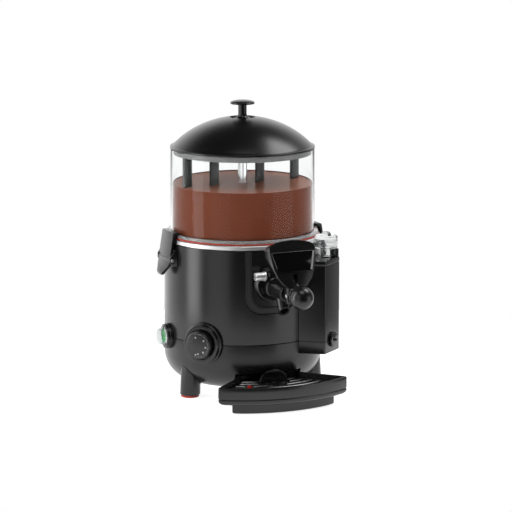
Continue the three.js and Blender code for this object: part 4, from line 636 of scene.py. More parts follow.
def build_drink():
    inner = BOWL_RADIUS - BOWL_WALL - CHOCOLATE_GAP
    low = TANK_RADIUS - 0.3
    profile = rounded(
        [
            (8, 173),
            (low, 173, 3),
            (low, BOWL.bottom + 4.8),
            (inner, BOWL.bottom + 4.8),
            (inner, CHOCOLATE_TOP + 1.4),
            (inner - 1.6, CHOCOLATE_TOP, 1),
            (8, CHOCOLATE_TOP),
        ]
    )
    show("drinking_chocolate", turned(profile, 200), CHOCOLATE, "product_tank", stands_for=False)
    # A thin top layer painted lighter than the drink below: painted light on the surface.
    level, rim = CHOCOLATE_TOP, inner - 1.8
    painted_lit_layer = [(8, level - 0.4), (rim, level - 0.4), (rim, level + 0.1), (8, level + 0.1)]
    show("drinking_chocolate_painted_lit_surface", turned(painted_lit_layer, 200), PAINTED_LIT_SURFACE, "product_tank", stands_for=False)


BLADES = (-97, -50, 31, 94)
BLADE_PITCH = 32
MIXER_TURN = 5


def build_stirrer():
    bottom, top = 373.6, Span("mixer_frame").top
    bar_low = top - 8
    hub = spun([(0, bottom), (10, bottom, 0.6), (10, top, 1.5), (0, top)], 64, False)
    bar = block(BLADES[0], BLADES[-1], -2.5, 2.5, bar_low, top, 0.7)
    parts = [hub, bar]
    floor = Span("mixer_frame").bottom
    for reach in BLADES:
        wide = 9.75 if abs(reach) < 96 else 9
        outline = [(-wide, bar_low + 4), (-wide, floor), (wide, floor), (wide, bar_low + 4)]
        blade = sheet_along(outline, -3.3, 3.3, 0.8)
        pitch = BLADE_PITCH if reach > 0 else BLADE_PITCH - 180
        parts.append(moved(blade, at(reach, 0, 0) @ Matrix.Rotation(math.radians(pitch), 4, "Z")))
    turn = Matrix.Rotation(math.radians(MIXER_TURN), 4, "Z")
    piece("mixer_frame", together(*parts), SOFT_BLACK, turn)
    bush = Span("shaft_bush")
    bore, stem, rim, step = 4.3, 5.9, 7.5, 371.3
    low, top = bush.bottom, bush.top
    ring = [(bore, low), (stem, low), (stem, step), (rim, step), (rim, top, 0.4), (bore, top)]
    piece("shaft_bush", spun(ring, 64), DULL_STEEL)


# Lid


DOME_TOP = 439
DOME_EDGE = 112
DOME_EDGE_SHARE = 0.7816
LID_RIM = 3.4
DIMPLE, DIMPLE_FLOOR = 21, 433.6


def dome_arc(wall, start, end, steps):
    """The dome's ellipse, grown inwards by a wall, from one radius in to another."""
    wide = DOME_EDGE / DOME_EDGE_SHARE
    high = (DOME_TOP - LID.bottom - LID_RIM) / (1 - math.sqrt(1 - DOME_EDGE_SHARE**2))
    angles = (math.degrees(math.acos(radius / (wide - wall))) for radius in (start, end))
    return arc((0, DOME_TOP - high), (wide - wall, high - wall), *angles, steps)


def build_lid():
    wall, hole = 2.6, 2.5
    outer = dome_arc(0, DOME_EDGE - 1.2, DIMPLE + 1.2, 40)
    inner = dome_arc(wall, DOME_EDGE - wall, DIMPLE + wall, 40)
    rim_top = LID.bottom + LID_RIM
    rim = [(DOME_EDGE - wall, LID.bottom), (LID.radius, LID.bottom, 1.1), (LID.radius, rim_top, 1.3)]
    rim = rounded([*rim, (DOME_EDGE + 0.4, rim_top + 0.1, 0.8), outer[0]], False)
    lip = (DIMPLE - 0.2, outer[-1][1] + 0.2, 1)
    dimple = rounded([outer[-1], lip, (DIMPLE - 2, DIMPLE_FLOOR, 1.5), (hole, DIMPLE_FLOOR)], False)
    under = [(hole, DIMPLE_FLOOR - wall), (DIMPLE, DIMPLE_FLOOR - wall)]
    profile = rim + outer[1:-1] + dimple + under + inner[::-1]
    piece("lid_shell", turned(profile, 200), LID_BLACK)
    low, top, radius = SKIRT.bottom, SKIRT.top, SKIRT.radius - 1
    ring = [(radius - 2, low), (radius, low, 0.8), (radius, top - 1.2), (radius + 1, top), (radius - 2, top)]
    piece("lid_skirt", spun(ring, 200), GREY)
    build_lid_knob()


def build_lid_knob():
    knob = Span("lid_knob")
    foot, cap, stem, flare = knob.bottom, knob.top - 6.4, 6.8, 15.6
    crown = arc((0, cap + 1.8), (knob.radius, knob.top - cap - 1.8), 8, 90, 24)
    rim = foot + 1.2
    profile = rounded([(0, foot), (flare, foot, 0.4), (flare, rim, 0.4), (flare - 0.8, rim)], False)
    profile += arc((flare, foot + 9.7), (flare - stem, 8.5), -94, -180, 20)
    under = rounded([(stem, cap - 3), (stem, cap, 1.2), (knob.radius - 0.2, cap, 0.7), crown[0]], False)
    profile += under[1:-1]
    piece("lid_knob", turned(profile + crown, 96), LID_BLACK)


# Thermostat and switch

DIAL_AZIMUTH = -50.8
DIAL_HEIGHT = Span("thermostat_knob").middle.z
TICKS, TICKS_FROM, TICKS_SWEEP = 22, -14, 212
SWITCH_AZIMUTH = -91
SWITCH_HEIGHT = Span("switch_rocker").middle.z


def seated(profile, radius, height, steps=ROUND_STEPS):
    """A ring that looks outwards at a height, cut to sit on a drum."""
    return cut(forward(turned(profile, steps)), moved(body_drum(radius), at(0, 0, -height)))


def thermostat_bezel():
    face = BODY_RADIUS + 8.6
    floor = BODY_RADIUS + 4
    profile = rounded(
        [
            (3.6, 92),
            (33.6, 92),
            (33.6, BODY_RADIUS + 3.2, 1.2),
            (31.2, BODY_RADIUS + 3.4, 0.5),
            (30.6, face, 1.6),
            (24, face, 0.8),
            (24, floor),
            (3.6, floor),
        ]
    )
    ring = seated(profile, BODY_RADIUS + SEAT_GAP, DIAL_HEIGHT)
    mark = block(-0.6, 0.6, -face - 2, -face + 0.5, 24.8, 28.6)
    return cut(ring, mark)


def build_thermostat():
    place = side(DIAL_AZIMUTH, DIAL_HEIGHT)
    piece("thermostat_bezel", thermostat_bezel(), TAP_BLACK, place)
    back, face = BODY_RADIUS + 4.6, BODY_RADIUS + 17.7
    corners = [(0, back), (21.9, back, 1), (22.6, back + 2, 0.5), (21.9, face, 1.6), (0, face)]
    piece("thermostat_knob", forward(spun(corners, closed=False)), KNOB, place)
    marks = []
    for i in range(TICKS):
        tick = block(-0.16, 0.16, -face - 0.06, -face + 0.2, 17.2, 19.4)
        turn = TICKS_FROM + TICKS_SWEEP * i / (TICKS - 1)
        marks.append(moved(tick, Matrix.Rotation(math.radians(turn), 4, "Y")))
    for turn, reach in ((-19, 13), (51, 13.2), (98, 14), (137, 14), (178, 13.6), (196, 15.6)):
        dot = rod(1.3, (0, -face + 0.2, reach), (0, -face - 0.06, reach), 24)
        marks.append(moved(dot, Matrix.Rotation(math.radians(turn), 4, "Y")))
    show("thermostat_marks", together(*marks), WHITE, "thermostat_knob", place, stands_for=False)


def build_switch():
    place = side(SWITCH_AZIMUTH, SWITCH_HEIGHT)
    face = BODY_RADIUS + 8
    profile = rounded([(12.1, 105), (19.6, 105), (19.6, face, 1.8), (12.1, face, 0.6)])
    seat_ring = rounded([(18, 105), (20.2, 105), (20.2, BODY_RADIUS + 3.6, 1), (18, BODY_RADIUS + 3.6)])
    ring, seat_ring = (seated(form, BODY_RADIUS + SEAT_GAP, SWITCH_HEIGHT) for form in (profile, seat_ring))
    piece("switch_bezel", ring, KNOB, place)
    show("switch_bezel_seat", seat_ring, SATIN, "switch_bezel", place, stands_for=False)
    front, back = face + 0.6, face - 5
    puck = forward(spun([(0, back), (11.6, back, 1.6), (11.6, front, 1.2), (0, front)], 96, False))
    groove = rod(24, (-20, -front - 22.8, 0), (20, -front - 22.8, 0), 128)
    piece("switch_rocker", cut(puck, groove), GREEN, place)
    seat, tip = face + SEAT_GAP, face + 12
    dome = (tip - seat) / 2
    outer = arc((0, tip - dome), (13.4, dome), 0, 90, 16)
    inner = arc((0, tip - dome), (12.3, dome - 1.1), 90, 0, 16)
    flange = rounded([(12.3, seat), (16.2, seat, 0.4), (16.2, seat + 1.1, 0.4), (13.4, seat + 1.6)], False)
    piece("switch_cap", forward(turned(flange + outer + inner, 96)), CAP_CLEAR, place)


# Filler column

COLUMN_AZIMUTH = 40
COLUMN_FACE = BODY_RADIUS + 35.3
COLUMN_HALF = 25.3
COLUMN_ROOT_HALF = 40
COLUMN_ROOT = BODY_RADIUS - 14
COLUMN_TOP = 222
CUP = (7.5, -BODY_RADIUS - 19.8)


def column_outline(inset=0, corner=3.4):
    face, half, root = COLUMN_FACE - inset, COLUMN_HALF - inset, COLUMN_ROOT_HALF - inset
    front = [(-half, -face, corner), (half, -face, corner)]
    return rounded([(-root, -COLUMN_ROOT), *front, (root, -COLUMN_ROOT)])


def beside_body():
    return body_drum(BODY_RADIUS + SEAT_GAP, -20, 300)


def build_column():
    place = side(COLUMN_AZIMUTH)
    housing, collar = Span("column_housing"), Span("column_collar")
    body = prism(column_outline(), housing.bottom, housing.top, 1.1)
    groove = prism(column_outline(-6), SEAM - 0.6, SEAM + 0.6)
    groove = cut(groove, prism(column_outline(0.8), SEAM - 2, SEAM + 2))
    body = cut(body, groove, rod(5.7, (0, -150, SEAM), (0, -170, SEAM)), beside_body())
    piece("column_housing", body, SATIN, place)
    lid = prism(column_outline(), collar.bottom, COLUMN_TOP, 0.9)
    right, front = COLUMN_HALF - 1.2, -COLUMN_FACE + 1.2
    post = block(right - 5.6, right, front, front + 12.4, COLUMN_TOP - 2, collar.top, 0.8)
    neck = rod(8, (*CUP, 200), (*CUP, 240))
    collar_form = cut(combined(lid, post, "UNION"), neck, beside_body())
    piece("column_collar", collar_form, SATIN, place)
    seat = COLUMN_FACE + SEAT_GAP
    rim, boss, tip = seat + 4.4, seat + 5.6, seat + 8.4
    plug = [(0, 151.3), (5.4, 151.3), (5.4, seat), (12, seat, 0.4), (12, rim, 1.2), (4.5, rim, 0.5)]
    plug += [(4, boss, 0.5), (2, boss), (2, tip, 0.5), (0, tip)]
    mesh = forward(spun(plug, 96, False))
    piece("drain_plug", mesh, GLOSS, side(COLUMN_AZIMUTH, SEAM))
    build_filler(place @ at(*CUP, 0))


def build_filler(place):
    low, floor, top = 222.3, 238.3, 250.7
    neck, wide, wall = 9.6, 18.2, 1.6
    cup = rounded(
        [
            (neck - wall, low),
            (neck, low, 0.4),
            (neck, floor - 1.6, 1.5),
            (wide, floor, 1.5),
            (wide, top, 0.5),
            (wide - wall, top, 0.5),
            (wide - wall, floor + wall, 1),
            (neck - wall, floor + 0.2, 1),
        ]
    )
    piece("filler_cup", turned(cup, 96), CUP_CLEAR, place)
    seat, height = 251, 257.4
    cap = rounded(
        [
            (0, seat + wall),
            (wide - 3.2, seat + wall),
            (wide - 3.2, seat - 2.4),
            (wide - 1.9, seat - 2.4),
            (wide - 1.9, seat, 0.2),
            (wide, seat, 0.3),
            (wide, height, 1.2),
            (8.6, height, 0.6),
            (7.6, height + 2, 0.6),
        ],
        False,
    )
    crown = arc((0, height + 2), (7.4, 5), 10, 90, 12)
    piece("filler_cap", turned(cap[:-1] + crown, 96), CUP_CLEAR, place)


# Latches

LATCH_HALF = 25
EAR_OUTER, EAR_INNER = 29.6, 26
PIN_REACH, PIN_HEIGHT = BODY_RADIUS + 4.6, 219.5
KNEE_HEIGHT, TIP_HEIGHT = 211.5, 193


def latch_outline():
    """The lever seen along its pin, from the hook down to the grip's tip."""
    hook = BOWL.bottom + 4.4 + SEAT_GAP
    wall = BODY_RADIUS
    return rounded(
        [
            (wall - 9.6, hook, 0.3),
            (wall - 9.6, hook + 4, 1.4),
            (wall + 0.8, hook + 4, 2.6),
            (wall + 8.8, KNEE_HEIGHT, 30),
            (wall + 15.8, TIP_HEIGHT + 4, 2),
            (wall + 15, TIP_HEIGHT, 1),
            (wall + 11.2, TIP_HEIGHT, 1),
            (wall + 4.2, KNEE_HEIGHT, 30),
            (wall - 1, BOWL.bottom - 2.6, 2),
            (wall - 4, hook, 1),
        ],
        steps=12,
    )


def grip_outline():
    """The lever seen from the side of the machine: its grip narrows to a rounded tip."""
    knee, tip = (KNEE_HEIGHT, 14), (TIP_HEIGHT, 6)
    half = LATCH_HALF
    outline = [(-half, *knee), (-7, *tip), (7, *tip), (half, *knee), (half, 270), (-half, 270)]
    return rounded(outline, steps=12)


def build_latches():
    for name, turn in (("left", 180), ("right", 0)):
        place = side(turn)
        lever = sheet_along(latch_outline(), -LATCH_HALF - 1, LATCH_HALF + 1)
        lever = combined(lever, sheet_across(grip_outline(), 100, 160), "INTERSECT")
        lever = soften(cleaned(lever), 1.1, 3, 40)
        pin = (PIN_REACH, LATCH_HALF, PIN_HEIGHT)
        rib = rod(3.6, (PIN_REACH, -LATCH_HALF, PIN_HEIGHT), pin, 48, 0.6)
        piece(f"latch_lever_{name}", together(lever, rib), SATIN, place)
        build_bracket(name, place)


def build_bracket(name, place):
    reach, height = PIN_REACH, PIN_HEIGHT
    ear = rounded(
        [
            (TOP_RADIUS - 4, 209),
            (reach, 209, 3),
            (reach + 3.6, height - 3.6, 3),
            (reach + 3.6, height + 3.6, 4),
            (TOP_RADIUS + 1.4, 236, 3),
            (TOP_RADIUS - 4, 236),
        ]
    )
    sheet = cut(body_outside(SEAT_GAP + 1.4), body_outside(SEAT_GAP))
    sheet = combined(sheet, block(0, 150, -EAR_OUTER, EAR_OUTER, 209, 236), "INTERSECT")
    sides = ((-EAR_OUTER, -EAR_INNER), (EAR_INNER, EAR_OUTER))
    ears = [cut(sheet_along(ear, *edges, 0.6), body_outside(SEAT_GAP)) for edges in sides]
    piece(f"latch_bracket_{name}", together(*ears, sheet), SATIN, place)
    half, head = 31.1, 29.9
    pin = [(0, -half), (2.6, -half, 0.8), (2.6, -head), (2, -head)]
    pin += [(radius, -along, *bend) for radius, along, *bend in reversed(pin)]
    mesh = moved(forward(spun(pin, 48, False)), at(reach, 0, height))
    piece(f"latch_pin_{name}", mesh, DULL_STEEL, place)


# Tap

TAP = at(0, 0, TAP_HEIGHT)
PIVOT_FORWARD, PIVOT_RISE = 208, 30
SPOUT_START, SPOUT_LEAN = 157.7, 30
MOUTH_DROP, MOUTH_TILT = 31, 52


def tap_body():
    shell = rounded(
        [
            (10, 107),
            (10.6, 107),
            (10.6, 123.6),
            (21.6, 123.6),
            (21.6, 127.4, 0.8),
            (17, 127.4, 1.5),
            (17, 142.2, 1.2),
            (15.4, 143.4, 0.8),
            (13.2, 187.4, 1),
            (13.9, 189, 0.8),
            (13.9, 191, 0.7),
            (10, 191),
        ]
    )
    barrel = forward(turned(shell, 128))
    lean = math.radians(SPOUT_LEAN)
    start = Vector((0, -SPOUT_START, 0))
    way = Vector((0, -math.sin(lean), -math.cos(lean)))
    far = start + way * 75
    mouth = start + way * MOUTH_DROP / math.cos(lean)
    slant = at(*mouth) @ Matrix.Rotation(-math.radians(MOUTH_TILT), 4, "X")
    slab = moved(block(-60, 60, -60, 60, -60, 0), slant)
    spout = cut(rod(9, start, far, 96), slab)
    side_outline = rounded(
        [
            (-176, 2),
            (-176, 19.8, 3),
            (-201.4, 36.6, 3),
            (-214.6, 36.6, 6),
            (-214.6, 23.4, 6),
            (-190.7, 15.8, 2),
            (-190.7, 2),
        ]
    )
    riser = sheet_across(side_outline, -6, 6, 1)
    solid = combined(combined(barrel, spout, "UNION"), riser, "UNION")
    solid = cut(solid, rod(9.99, (0, -125, 0), (0, -200, 0), 96), rod(6.6, start, far, 96))
    return cut(solid, rod(3.3, (-20, -PIVOT_FORWARD, PIVOT_RISE), (20, -PIVOT_FORWARD, PIVOT_RISE), 48))


def ring_nut():
    floor = TOP_RADIUS - RECESS_DEPTH - RECESS_STEP_DEPTH + SEAT_GAP
    profile = rounded(
        [
            (23.9, 108),
            (29, 108),
            (29, 122.5, 1.5),
            (25.8, 131, 1.4),
            (22.4, 131, 1.2),
            (22, 129.8),
            (20.4, 129.8),
            (20.4, 127.7),
            (23.9, 127.7),
        ]
    )
    ring = seated(profile, floor, TAP_HEIGHT + 2, 128)
    lug = block(-16.7, -10.7, -144, -129.5, 11.5, 22.5, 1)
    return together(ring, lug)


def build_tap():
    piece("tap_body", tap_body(), TAP_BLACK, TAP)
    ring = TAP @ at(0, 0, 2)
    piece("tap_ring_nut", ring_nut(), TAP_BLACK, ring)
    screw = [(0, 0), (6.7, 0, 1), (6.7, 14), (7.5, 14, 0.5), (7.5, 17, 0.5), (2.4, 17), (2.4, 23), (0, 23)]
    mesh = cut(spun(screw, 64, False), block(-1.2, 1.2, -9, 9, -1, 2.4))
    lying = at(-34, -139.1, 17) @ Matrix.Rotation(math.pi / 2, 4, "Y")
    piece("clamp_screw", mesh, SILVER, ring @ lying)
    cap = [(4.3, 186.3), (9.7, 186.3), (9.7, 191.3), (13.2, 191.3), (13.2, 193.9, 0.9), (4.3, 193.9, 0.5)]
    piece("tap_end_cap", forward(spun(cap, 96)), SATIN, TAP)
    build_handle()
    build_plunger_spring()


# Handle

SHIELD_FORWARD, SHIELD_HEIGHT, SHIELD_LEAN = 206, 262, 17.8
SHIELD_HALF, SHIELD_LENGTH, SHIELD_ARCH = 37.7, 64, 11.5
BALL = Vector((0, -245, 3.2))
BALL_RADIUS = 18.3

LEAN = at(0, -SHIELD_FORWARD, SHIELD_HEIGHT - TAP_HEIGHT)
LEAN = LEAN @ Matrix.Rotation(math.radians(90 - SHIELD_LEAN), 4, "X")


def build_plunger_spring():
    """The spring drawn again from its CAD mesh, with a mesh of its own."""
    coils = bmesh.new()
    coils.from_mesh(FRAME["nodes"]["plunger_spring"].data)
    bmesh.ops.remove_doubles(coils, verts=coils.verts, dist=MM / 1000)
    coils.transform(MACHINE.inverted())
    spring = piece("plunger_spring", coils, DULL_STEEL)
    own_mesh(spring)


def shield_outline(inset):
    half, length = SHIELD_HALF - inset, SHIELD_LENGTH - inset / 2
    arch = arc((0, 0), (half, SHIELD_ARCH - inset / 2), 8, 172, 24)
    shares = ((1, 0.02), (0.99, 0.13), (0.955, 0.28), (0.88, 0.52), (0.74, 0.73), (0.52, 0.9), (0.3, 0.985))
    left = [(-half * across, -length * down) for across, down in shares]
    right = [(-x, y) for x, y in reversed(left)]
    return arch + left + [(0, -length)] + right


def handle_shield():
    blank = prism(shield_outline(0), -42, 0)
    depth = rounded([(20, 4), (20, -21), (-10.5, -21, 8), (-32, -6.4, 10), (-70, -6.4), (-70, 4)])
    blank = combined(blank, sheet_across(depth, -60, 60), "INTERSECT")
    blank = soften(cleaned(blank), 1.6, 3, 40)
    shell = cut(blank, prism(shield_outline(3), -50, -3))
    slot = prism(rounded([(-4, -57.5, 2), (4, -57.5, 2), (4, -40.5, 2), (-4, -40.5, 2)]), -30, 5)
    shell = moved(cut(shell, slot), LEAN)
    foot = foot_point()
    way = BALL - foot
    neck = rod(5.6, foot, foot + way.normalized() * (way.length - 9))
    neck = cut(neck, ball(BALL_RADIUS + 0.3, BALL))
    return together(shell, neck, *cheeks())


def foot_point():
    return LEAN @ Vector((0, -SHIELD_LENGTH + 3.75, -3.2))


def cheeks():
    outline = rounded(
        [
            (-201.6, -12, 3),
            (-201.6, 36.4, 3),
            (-214.4, 36.4),
            (-218.6, 30),
            (-219, 18),
            (-214.4, 2, 4),
            (-214.4, -12, 3),
        ]
    )
    plates = [sheet_across(outline, *edges, 0.7) for edges in ((-10.5, -7), (7, 10.5))]
    return [cut(plate, moved(block(-60, 60, -140, 60, -1.5, 60), LEAN)) for plate in plates]


def build_handle():
    piece("handle_shield", handle_shield(), SATIN, TAP)
    top, bottom = -6.2, -37.7
    outline = rounded([(-29.2, bottom, 1.2), (29.2, bottom, 1.2), (36.2, top, 1.2), (-36.2, top, 1.2)])
    label = moved(prism(outline, 0.3, 1.9, 0.35), LEAN)
    piece("label_plate", label, GLOSS, TAP)
    low, high = bottom + 1.6, top - 1.4
    trims = [
        [(28.5, low), (35.2, high), (32.2, high), (25.5, low)],
        [(-29.2, low + 4), (-35.5, high), (-35.2, high), (-28.9, low + 4)],
        [(-34.6, high + 0.5), (34.6, high + 0.5), (34.6, high + 0.75), (-34.6, high + 0.75)],
    ]
    bars = together(*(moved(prism(edge, 1.9, 2.1), LEAN) for edge in trims))
    show("label_plate_trims", bars, SILVER, "label_plate", TAP, stands_for=False)
    way = (foot_point() - BALL).normalized()
    knob = cut(ball(BALL_RADIUS, BALL, 96), rod(3.3, BALL + way * 8, BALL + way * 30))
    piece("ball_knob", knob, BALL_BLACK, TAP)
    for name, radius, height in (("handle_pin", 3, PIVOT_RISE), ("link_pin", 2.5, 0)):
        pin = rod(radius, (-11, -PIVOT_FORWARD, height), (11, -PIVOT_FORWARD, height), 48, 0.4)
        show(f"{name}_form", pin, STEEL, name, TAP)


# Drip tray

TRAY_RADIUS, TRAY_CORNER, TRAY_BACK, TRAY_BACK_HALF = 204, 110, 104, 52
TRAY, STAND = Span("drip_tray"), Span("tray_stand")
GRILLE_TOP = 33
RIBS = (-37, -18, 0, 18, 37)
SLOT_ROWS, SLOT_STEP, SLOT_LENGTH, SLOT_START = 6, 15, 10, 192
RIB_RINGS = tuple(SLOT_START - SLOT_LENGTH - 2.5 - SLOT_STEP * row for row in range(SLOT_ROWS - 1))
FLOAT = tuple(Span("float_indicator").middle[:2])
BOSS_PLACE = 146


def tray_outline(inset, corner=3.5, arc_steps=40):
    radius, half = TRAY_RADIUS - inset, TRAY_BACK_HALF - inset
    offset = math.sqrt(TRAY_RADIUS**2 - TRAY_CORNER**2) - TRAY_CORNER + inset * math.sqrt(2)
    corner_x = (math.sqrt(2 * radius**2 - offset**2) - offset) / 2
    turn = math.degrees(math.asin(corner_x / radius))
    front = arc((0, 0), (radius, radius), -90 - turn, -90 + turn, arc_steps)
    gap = math.ceil(corner * 1.4 / (radius * math.radians(2 * turn) / arc_steps))
    front = front[gap:-gap]
    left, right = (-corner_x, -corner_x - offset), (corner_x, -corner_x - offset)
    waist, back = half + offset, TRAY_BACK + inset
    rear = [(half, -waist), (half, -back), (-half, -back), (-half, -waist)]
    return rounded([(*left, corner), *front, (*right, corner), *rear], steps=8)


def stacked(levels, outline=tray_outline):
    """A solid skinned over inset outlines, one above the other."""
    mesh = bmesh.new()
    rings = [[mesh.verts.new((x, y, height)) for x, y in outline(inset)] for inset, height in levels]
    for low, high in zip(rings, rings[1:]):
        for i, vert in enumerate(low):
            after = (i + 1) % len(low)
            mesh.faces.new((vert, low[after], high[after], high[i]))
    mesh.faces.new(rings[0][::-1])
    mesh.faces.new(rings[-1])
    bmesh.ops.recalc_face_normals(mesh, faces=mesh.faces)
    return mesh


def drip_tray():
    low, top = TRAY.bottom, TRAY.top
    levels = arc((7.5, low + 7.5), (7.5, 7.5), 270, 180, 8)
    levels += [(0, 23.6), (0.25, 24), (0.7, 24.1), (0.7, 25.2), (0.25, 25.3), (0, 25.7)]
    levels += [(0, top - 1.2), (0.35, top - 0.35), (1.2, top)]
    levels += [(2.2, top), (2.9, top - 0.7), (3, GRILLE_TOP - 3.3), (6, GRILLE_TOP - 3.3), (6, low + 2.6)]
    return stacked(levels)


def tray_stand():
    half, radius = 87, 194
    corner = math.sqrt(radius**2 - half**2)
    turn = math.degrees(math.asin(half / radius))

    def outline(inset):
        shrunk = radius - inset
        front = arc((0, 0), (shrunk, shrunk), -90 - turn, -90 + turn, 40)[3:-3]
        back = corner - (half - TRAY_BACK_HALF)
        inner, wide = TRAY_BACK_HALF - inset, half - 1.4 * inset
        left, right = (-wide, inset - corner, 2), (wide, inset - corner, 2)
        return rounded([left, *front, right, (inner, -back), (-inner, -back)], steps=8)

    return stacked([*arc((4, 4), (4, 4), 270, 180, 6), (0, STAND.top)], outline)


def grille():
    bottom = GRILLE_TOP - 3
    plate = stacked([(3.3, bottom), (3.3, GRILLE_TOP)])
    holes = []
    for row in range(SLOT_ROWS):
        outer = SLOT_START - row * SLOT_STEP
        inner = outer - SLOT_LENGTH
        margin = math.degrees(2.2 / ((outer + inner) / 2))
        ends = (-60, *RIBS, 60)
        for start, end in zip(ends, ends[1:]):
            sweep = (start + margin - 90, end - margin - 90)
            far = arc((0, 0), (outer, outer), *sweep, 10)
            near = arc((0, 0), (inner, inner), *sweep[::-1], 10)
            holes.append(prism(far + near, bottom - 5, GRILLE_TOP + 5))
    keep = stacked([(8.3, bottom - 6), (8.3, GRILLE_TOP + 6)])
    holes = combined(together(*holes), keep, "INTERSECT")
    spared = (
        rod(16.2, (0, -BOSS_PLACE, 20), (0, -BOSS_PLACE, 50)),
        rod(8.9, (*FLOAT, 20), (*FLOAT, 50)),
        block(-25, 25, -135.2, -128.2, 20, 50),
    )
    plate = cleaned(cut(plate, cut(holes, *spared)))
    plate = soften(plate, 0.8, 2, 50)
    plate = cut(plate, rod(6.3, (*FLOAT, 20), (*FLOAT, 50)))
    top = GRILLE_TOP + 1.6
    boss = spun([(0, bottom), (14, bottom), (14, top, 1.4), (0, top)], 96, False)
    boss = moved(boss, at(0, -BOSS_PLACE, 0))
    disc = spun([(0, 0), (25, 0, 0.9), (25, 2.6, 0.9), (0, 2.6)], 128, False)
    disc = moved(disc, at(0, -133, 30) @ Matrix.Rotation(-math.pi / 2, 4, "X"))
    tab = cut(disc, block(-30, 30, -140, -120, 0, bottom + 0.5))
    return together(plate, boss, tab)


def grille_bars():
    """The rounded tops of the grille's curved ribs, clear of its boss, tab and float."""
    rings = (turned(arc((radius, GRILLE_TOP - 0.4), (2.3, 2.1), 0, 348, 16), 240) for radius in RIB_RINGS)
    within = stacked([(6.5, GRILLE_TOP - 6), (6.5, GRILLE_TOP + 6)])
    spared = (
        rod(16.4, (0, -BOSS_PLACE, 20), (0, -BOSS_PLACE, 50)),
        rod(9.1, (*FLOAT, 20), (*FLOAT, 50)),
        block(-27, 27, -137, -120, 20, 60),
    )
    return cut(combined(together(*rings), within, "INTERSECT"), *spared)


def build_tray():
    piece("drip_tray", drip_tray(), SATIN)
    piece("tray_stand", tray_stand(), SATIN)
    piece("drip_grille", grille(), RIB_BLACK)
    show("drip_grille_bars", grille_bars(), BAR_BLACK, "drip_grille", stands_for=False)
    low, top = Span("float_indicator").bottom, Span("float_indicator").top
    neck = low + 5
    corners = [(0, low), (8.4, low, 1), (8.4, neck, 1), (3.2, neck, 0.5), (3.2, top, 1), (0, top)]
    piece("float_indicator", spun(corners, 64, False), RED, at(*FLOAT, 0))


def build_gland():
    seat, nose = BODY_RADIUS + SEAT_GAP, BODY_RADIUS + 5
    corners = [(3.6, 117), (6, 117), (6, seat), (9, seat, 0.5), (9, nose, 0.8), (6.4, nose, 0.4)]
    corners += [(5.6, nose + 4.6, 0.8), (3.6, nose + 4.6)]
    place = side(180, Span("cable_gland").middle.z)
    piece("cable_gland", forward(spun(corners, 64)), SATIN, place)


def finish_cad_nodes():
    """Gives the CAD nodes that stay in view their materials."""
    by_slot = {
        "satin_black": SATIN,
        "gloss_black": GLOSS,
        "stainless": STEEL,
        "clear_plastic": CLEAR,
        "silicone": SILICONE,
        "grey_plastic": GREY,
        "rocker_green": GREEN,
        "float_red": RED,
        "bronze": DULL_STEEL,
    }
    for name, node in FRAME["nodes"].items():
        node.data.materials.clear()
        node.data.materials.append(by_slot[SLOTS[name]])


# Camera and light

CAMERA_TURN = -21.55
CAMERA_DISTANCE = 4119.35
CAMERA_HEIGHT = 984.4
CAMERA_PAN = -0.30
CAMERA_PITCH = 10.61
LENS = 183.76
ROOM_DIM, ROOM_BRIGHT = 0.03, 1.5
FLOOR_RADIUS = 0.62


def build_camera():
    turn = math.radians(CAMERA_TURN)
    data = bpy.data.cameras.new("camera")
    data.lens, data.sensor_width = LENS, 36
    camera = bpy.data.objects.new("camera", data)
    place = Vector((CAMERA_DISTANCE * math.sin(turn), -CAMERA_DISTANCE * math.cos(turn), CAMERA_HEIGHT))
    camera.location = MACHINE @ place
    look = Matrix.Rotation(turn + math.radians(CAMERA_PAN), 4, "Z") @ Matrix.Rotation(
        math.radians(90 - CAMERA_PITCH), 4, "X"
    )
    camera.rotation_euler = look.to_euler()
    bpy.context.scene.collection.objects.link(camera)
    bpy.context.scene.camera = camera


def softbox(name, turn, height, distance, width, tall, brightness, aim=None):
    """A rectangular light, turned from the camera's side and upright unless it has an aim."""
    data = bpy.data.lights.new(name, "AREA")
    data.shape, data.size, data.size_y = "RECTANGLE", width, tall
    data.energy = brightness * math.pi * width * tall
    light = bpy.data.objects.new(name, data)
    light.visible_camera = False
    turn = math.radians(CAMERA_TURN + turn)
    light.location = AXIS + Vector((distance * math.sin(turn), -distance * math.cos(turn), height))
    target = AXIS + Vector((0, 0, height if aim is None else aim))
    light.rotation_euler = (light.location - target).to_track_quat("Z", "Y").to_euler()
    bpy.context.scene.collection.objects.link(light)
    return light


def seen_white(nodes, lit, white, *rays):
    """A shader that lights the scene, but is white for the camera and the rays that are named."""
    seen = nodes.node("ShaderNodeLightPath", "Is Camera Ray", {})
    for ray in rays:
        seen = seen.maths("MAXIMUM", nodes.node("ShaderNodeLightPath", ray, {}))
    return nodes.node("ShaderNodeMixShader", "Shader", {"Fac": seen, 1: lit, 2: white})


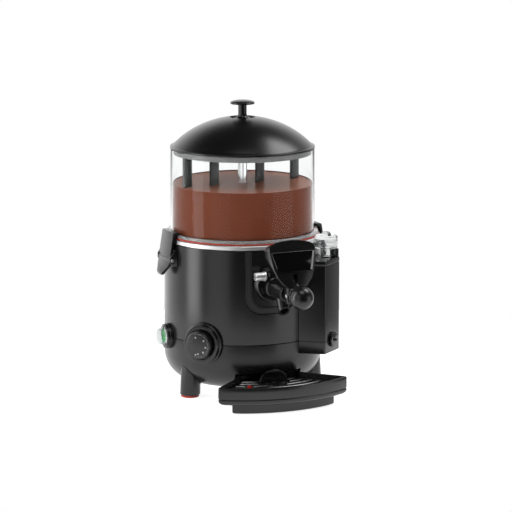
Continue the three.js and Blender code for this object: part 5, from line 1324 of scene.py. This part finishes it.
def build_world():
    """Bright behind the machine and dim in front of it."""
    world = bpy.data.worlds.new("studio")
    bpy.context.scene.world = world
    world.use_nodes = True
    nodes = Nodes(world.node_tree)
    turn = math.radians(CAMERA_TURN + 20)
    way = nodes.node("ShaderNodeTexCoord", "Generated", {})
    behind = (-math.sin(turn), math.cos(turn), 0)
    facing = nodes.node("ShaderNodeVectorMath", "Value", {0: way, 1: behind}, operation="DOT_PRODUCT")
    limits = {"Value": facing, "From Min": 0, "From Max": 1, "To Min": ROOM_DIM, "To Max": ROOM_BRIGHT}
    strength = nodes.node("ShaderNodeMapRange", "Result", limits)
    rise = nodes.node("ShaderNodeSeparateXYZ", "Z", {"Vector": way})
    limits = {"Value": rise, "From Min": 0.4, "From Max": 0.7, "To Min": 1, "To Max": 0.03}
    strength = strength * nodes.node("ShaderNodeMapRange", "Result", limits)
    room = nodes.node("ShaderNodeBackground", "Background", {"Color": grey(1), "Strength": strength})
    white = nodes.node("ShaderNodeBackground", "Background", {"Color": grey(1)})
    out = next(n for n in world.node_tree.nodes if n.type == "OUTPUT_WORLD")
    shown = seen_white(nodes, room, white, "Is Transmission Ray")
    world.node_tree.links.new(shown.socket, out.inputs["Surface"])


def build_floor():
    """A white table top that keeps a faint shadow."""
    mesh = bmesh.new()
    bmesh.ops.create_circle(mesh, cap_ends=True, segments=96, radius=FLOOR_RADIUS)
    data = bpy.data.meshes.new("floor")
    mesh.to_mesh(data)
    mesh.free()
    floor = bpy.data.objects.new("floor", data)
    floor.location = AXIS - Vector((0, 0, 0.0005))
    bpy.context.scene.collection.objects.link(floor)
    shader = Shader("pale_floor", Base_Color=grey(0.8), Roughness=0.9)
    lit = Value(shader, shader.surface.outputs[0])
    pale = shader.node("ShaderNodeEmission", "Emission", {"Color": grey(1), "Strength": 0.85})
    white = shader.node("ShaderNodeAddShader", "Shader", {}, [lit, pale])
    out = next(n for n in shader.tree.nodes if n.type == "OUTPUT_MATERIAL")
    shown = seen_white(shader, lit, white, "Is Glossy Ray", "Is Transmission Ray")
    shader.tree.links.new(shown.socket, out.inputs["Surface"])
    data.materials.append(shader.material)


def build_light():
    build_world()
    build_floor()
    softbox("left_strip", -72, 0.35, 1.0, 0.36, 1.9, 4.5)
    softbox("left_screen", -35, 0.5, 3.0, 1.75, 3.6, 0.9)
    softbox("right_screen", 66, -0.25, 1.2, 0.8, 1.5, 1.3)
    softbox("top_box", 104, 1.5, 0.9, 0.75, 0.75, 6, 0.35)
    softbox("front_top", 8, 1.75, 0.85, 0.7, 0.7, 4, 0.3)
    bpy.context.scene.view_settings.view_transform = "Standard"


finish_cad_nodes()
build_body()
build_tank()
build_bowl()
build_drink()
build_stirrer()
build_lid()
build_thermostat()
build_switch()
build_column()
build_latches()
build_tap()
build_tray()
build_gland()
build_camera()
build_light()
save_size()
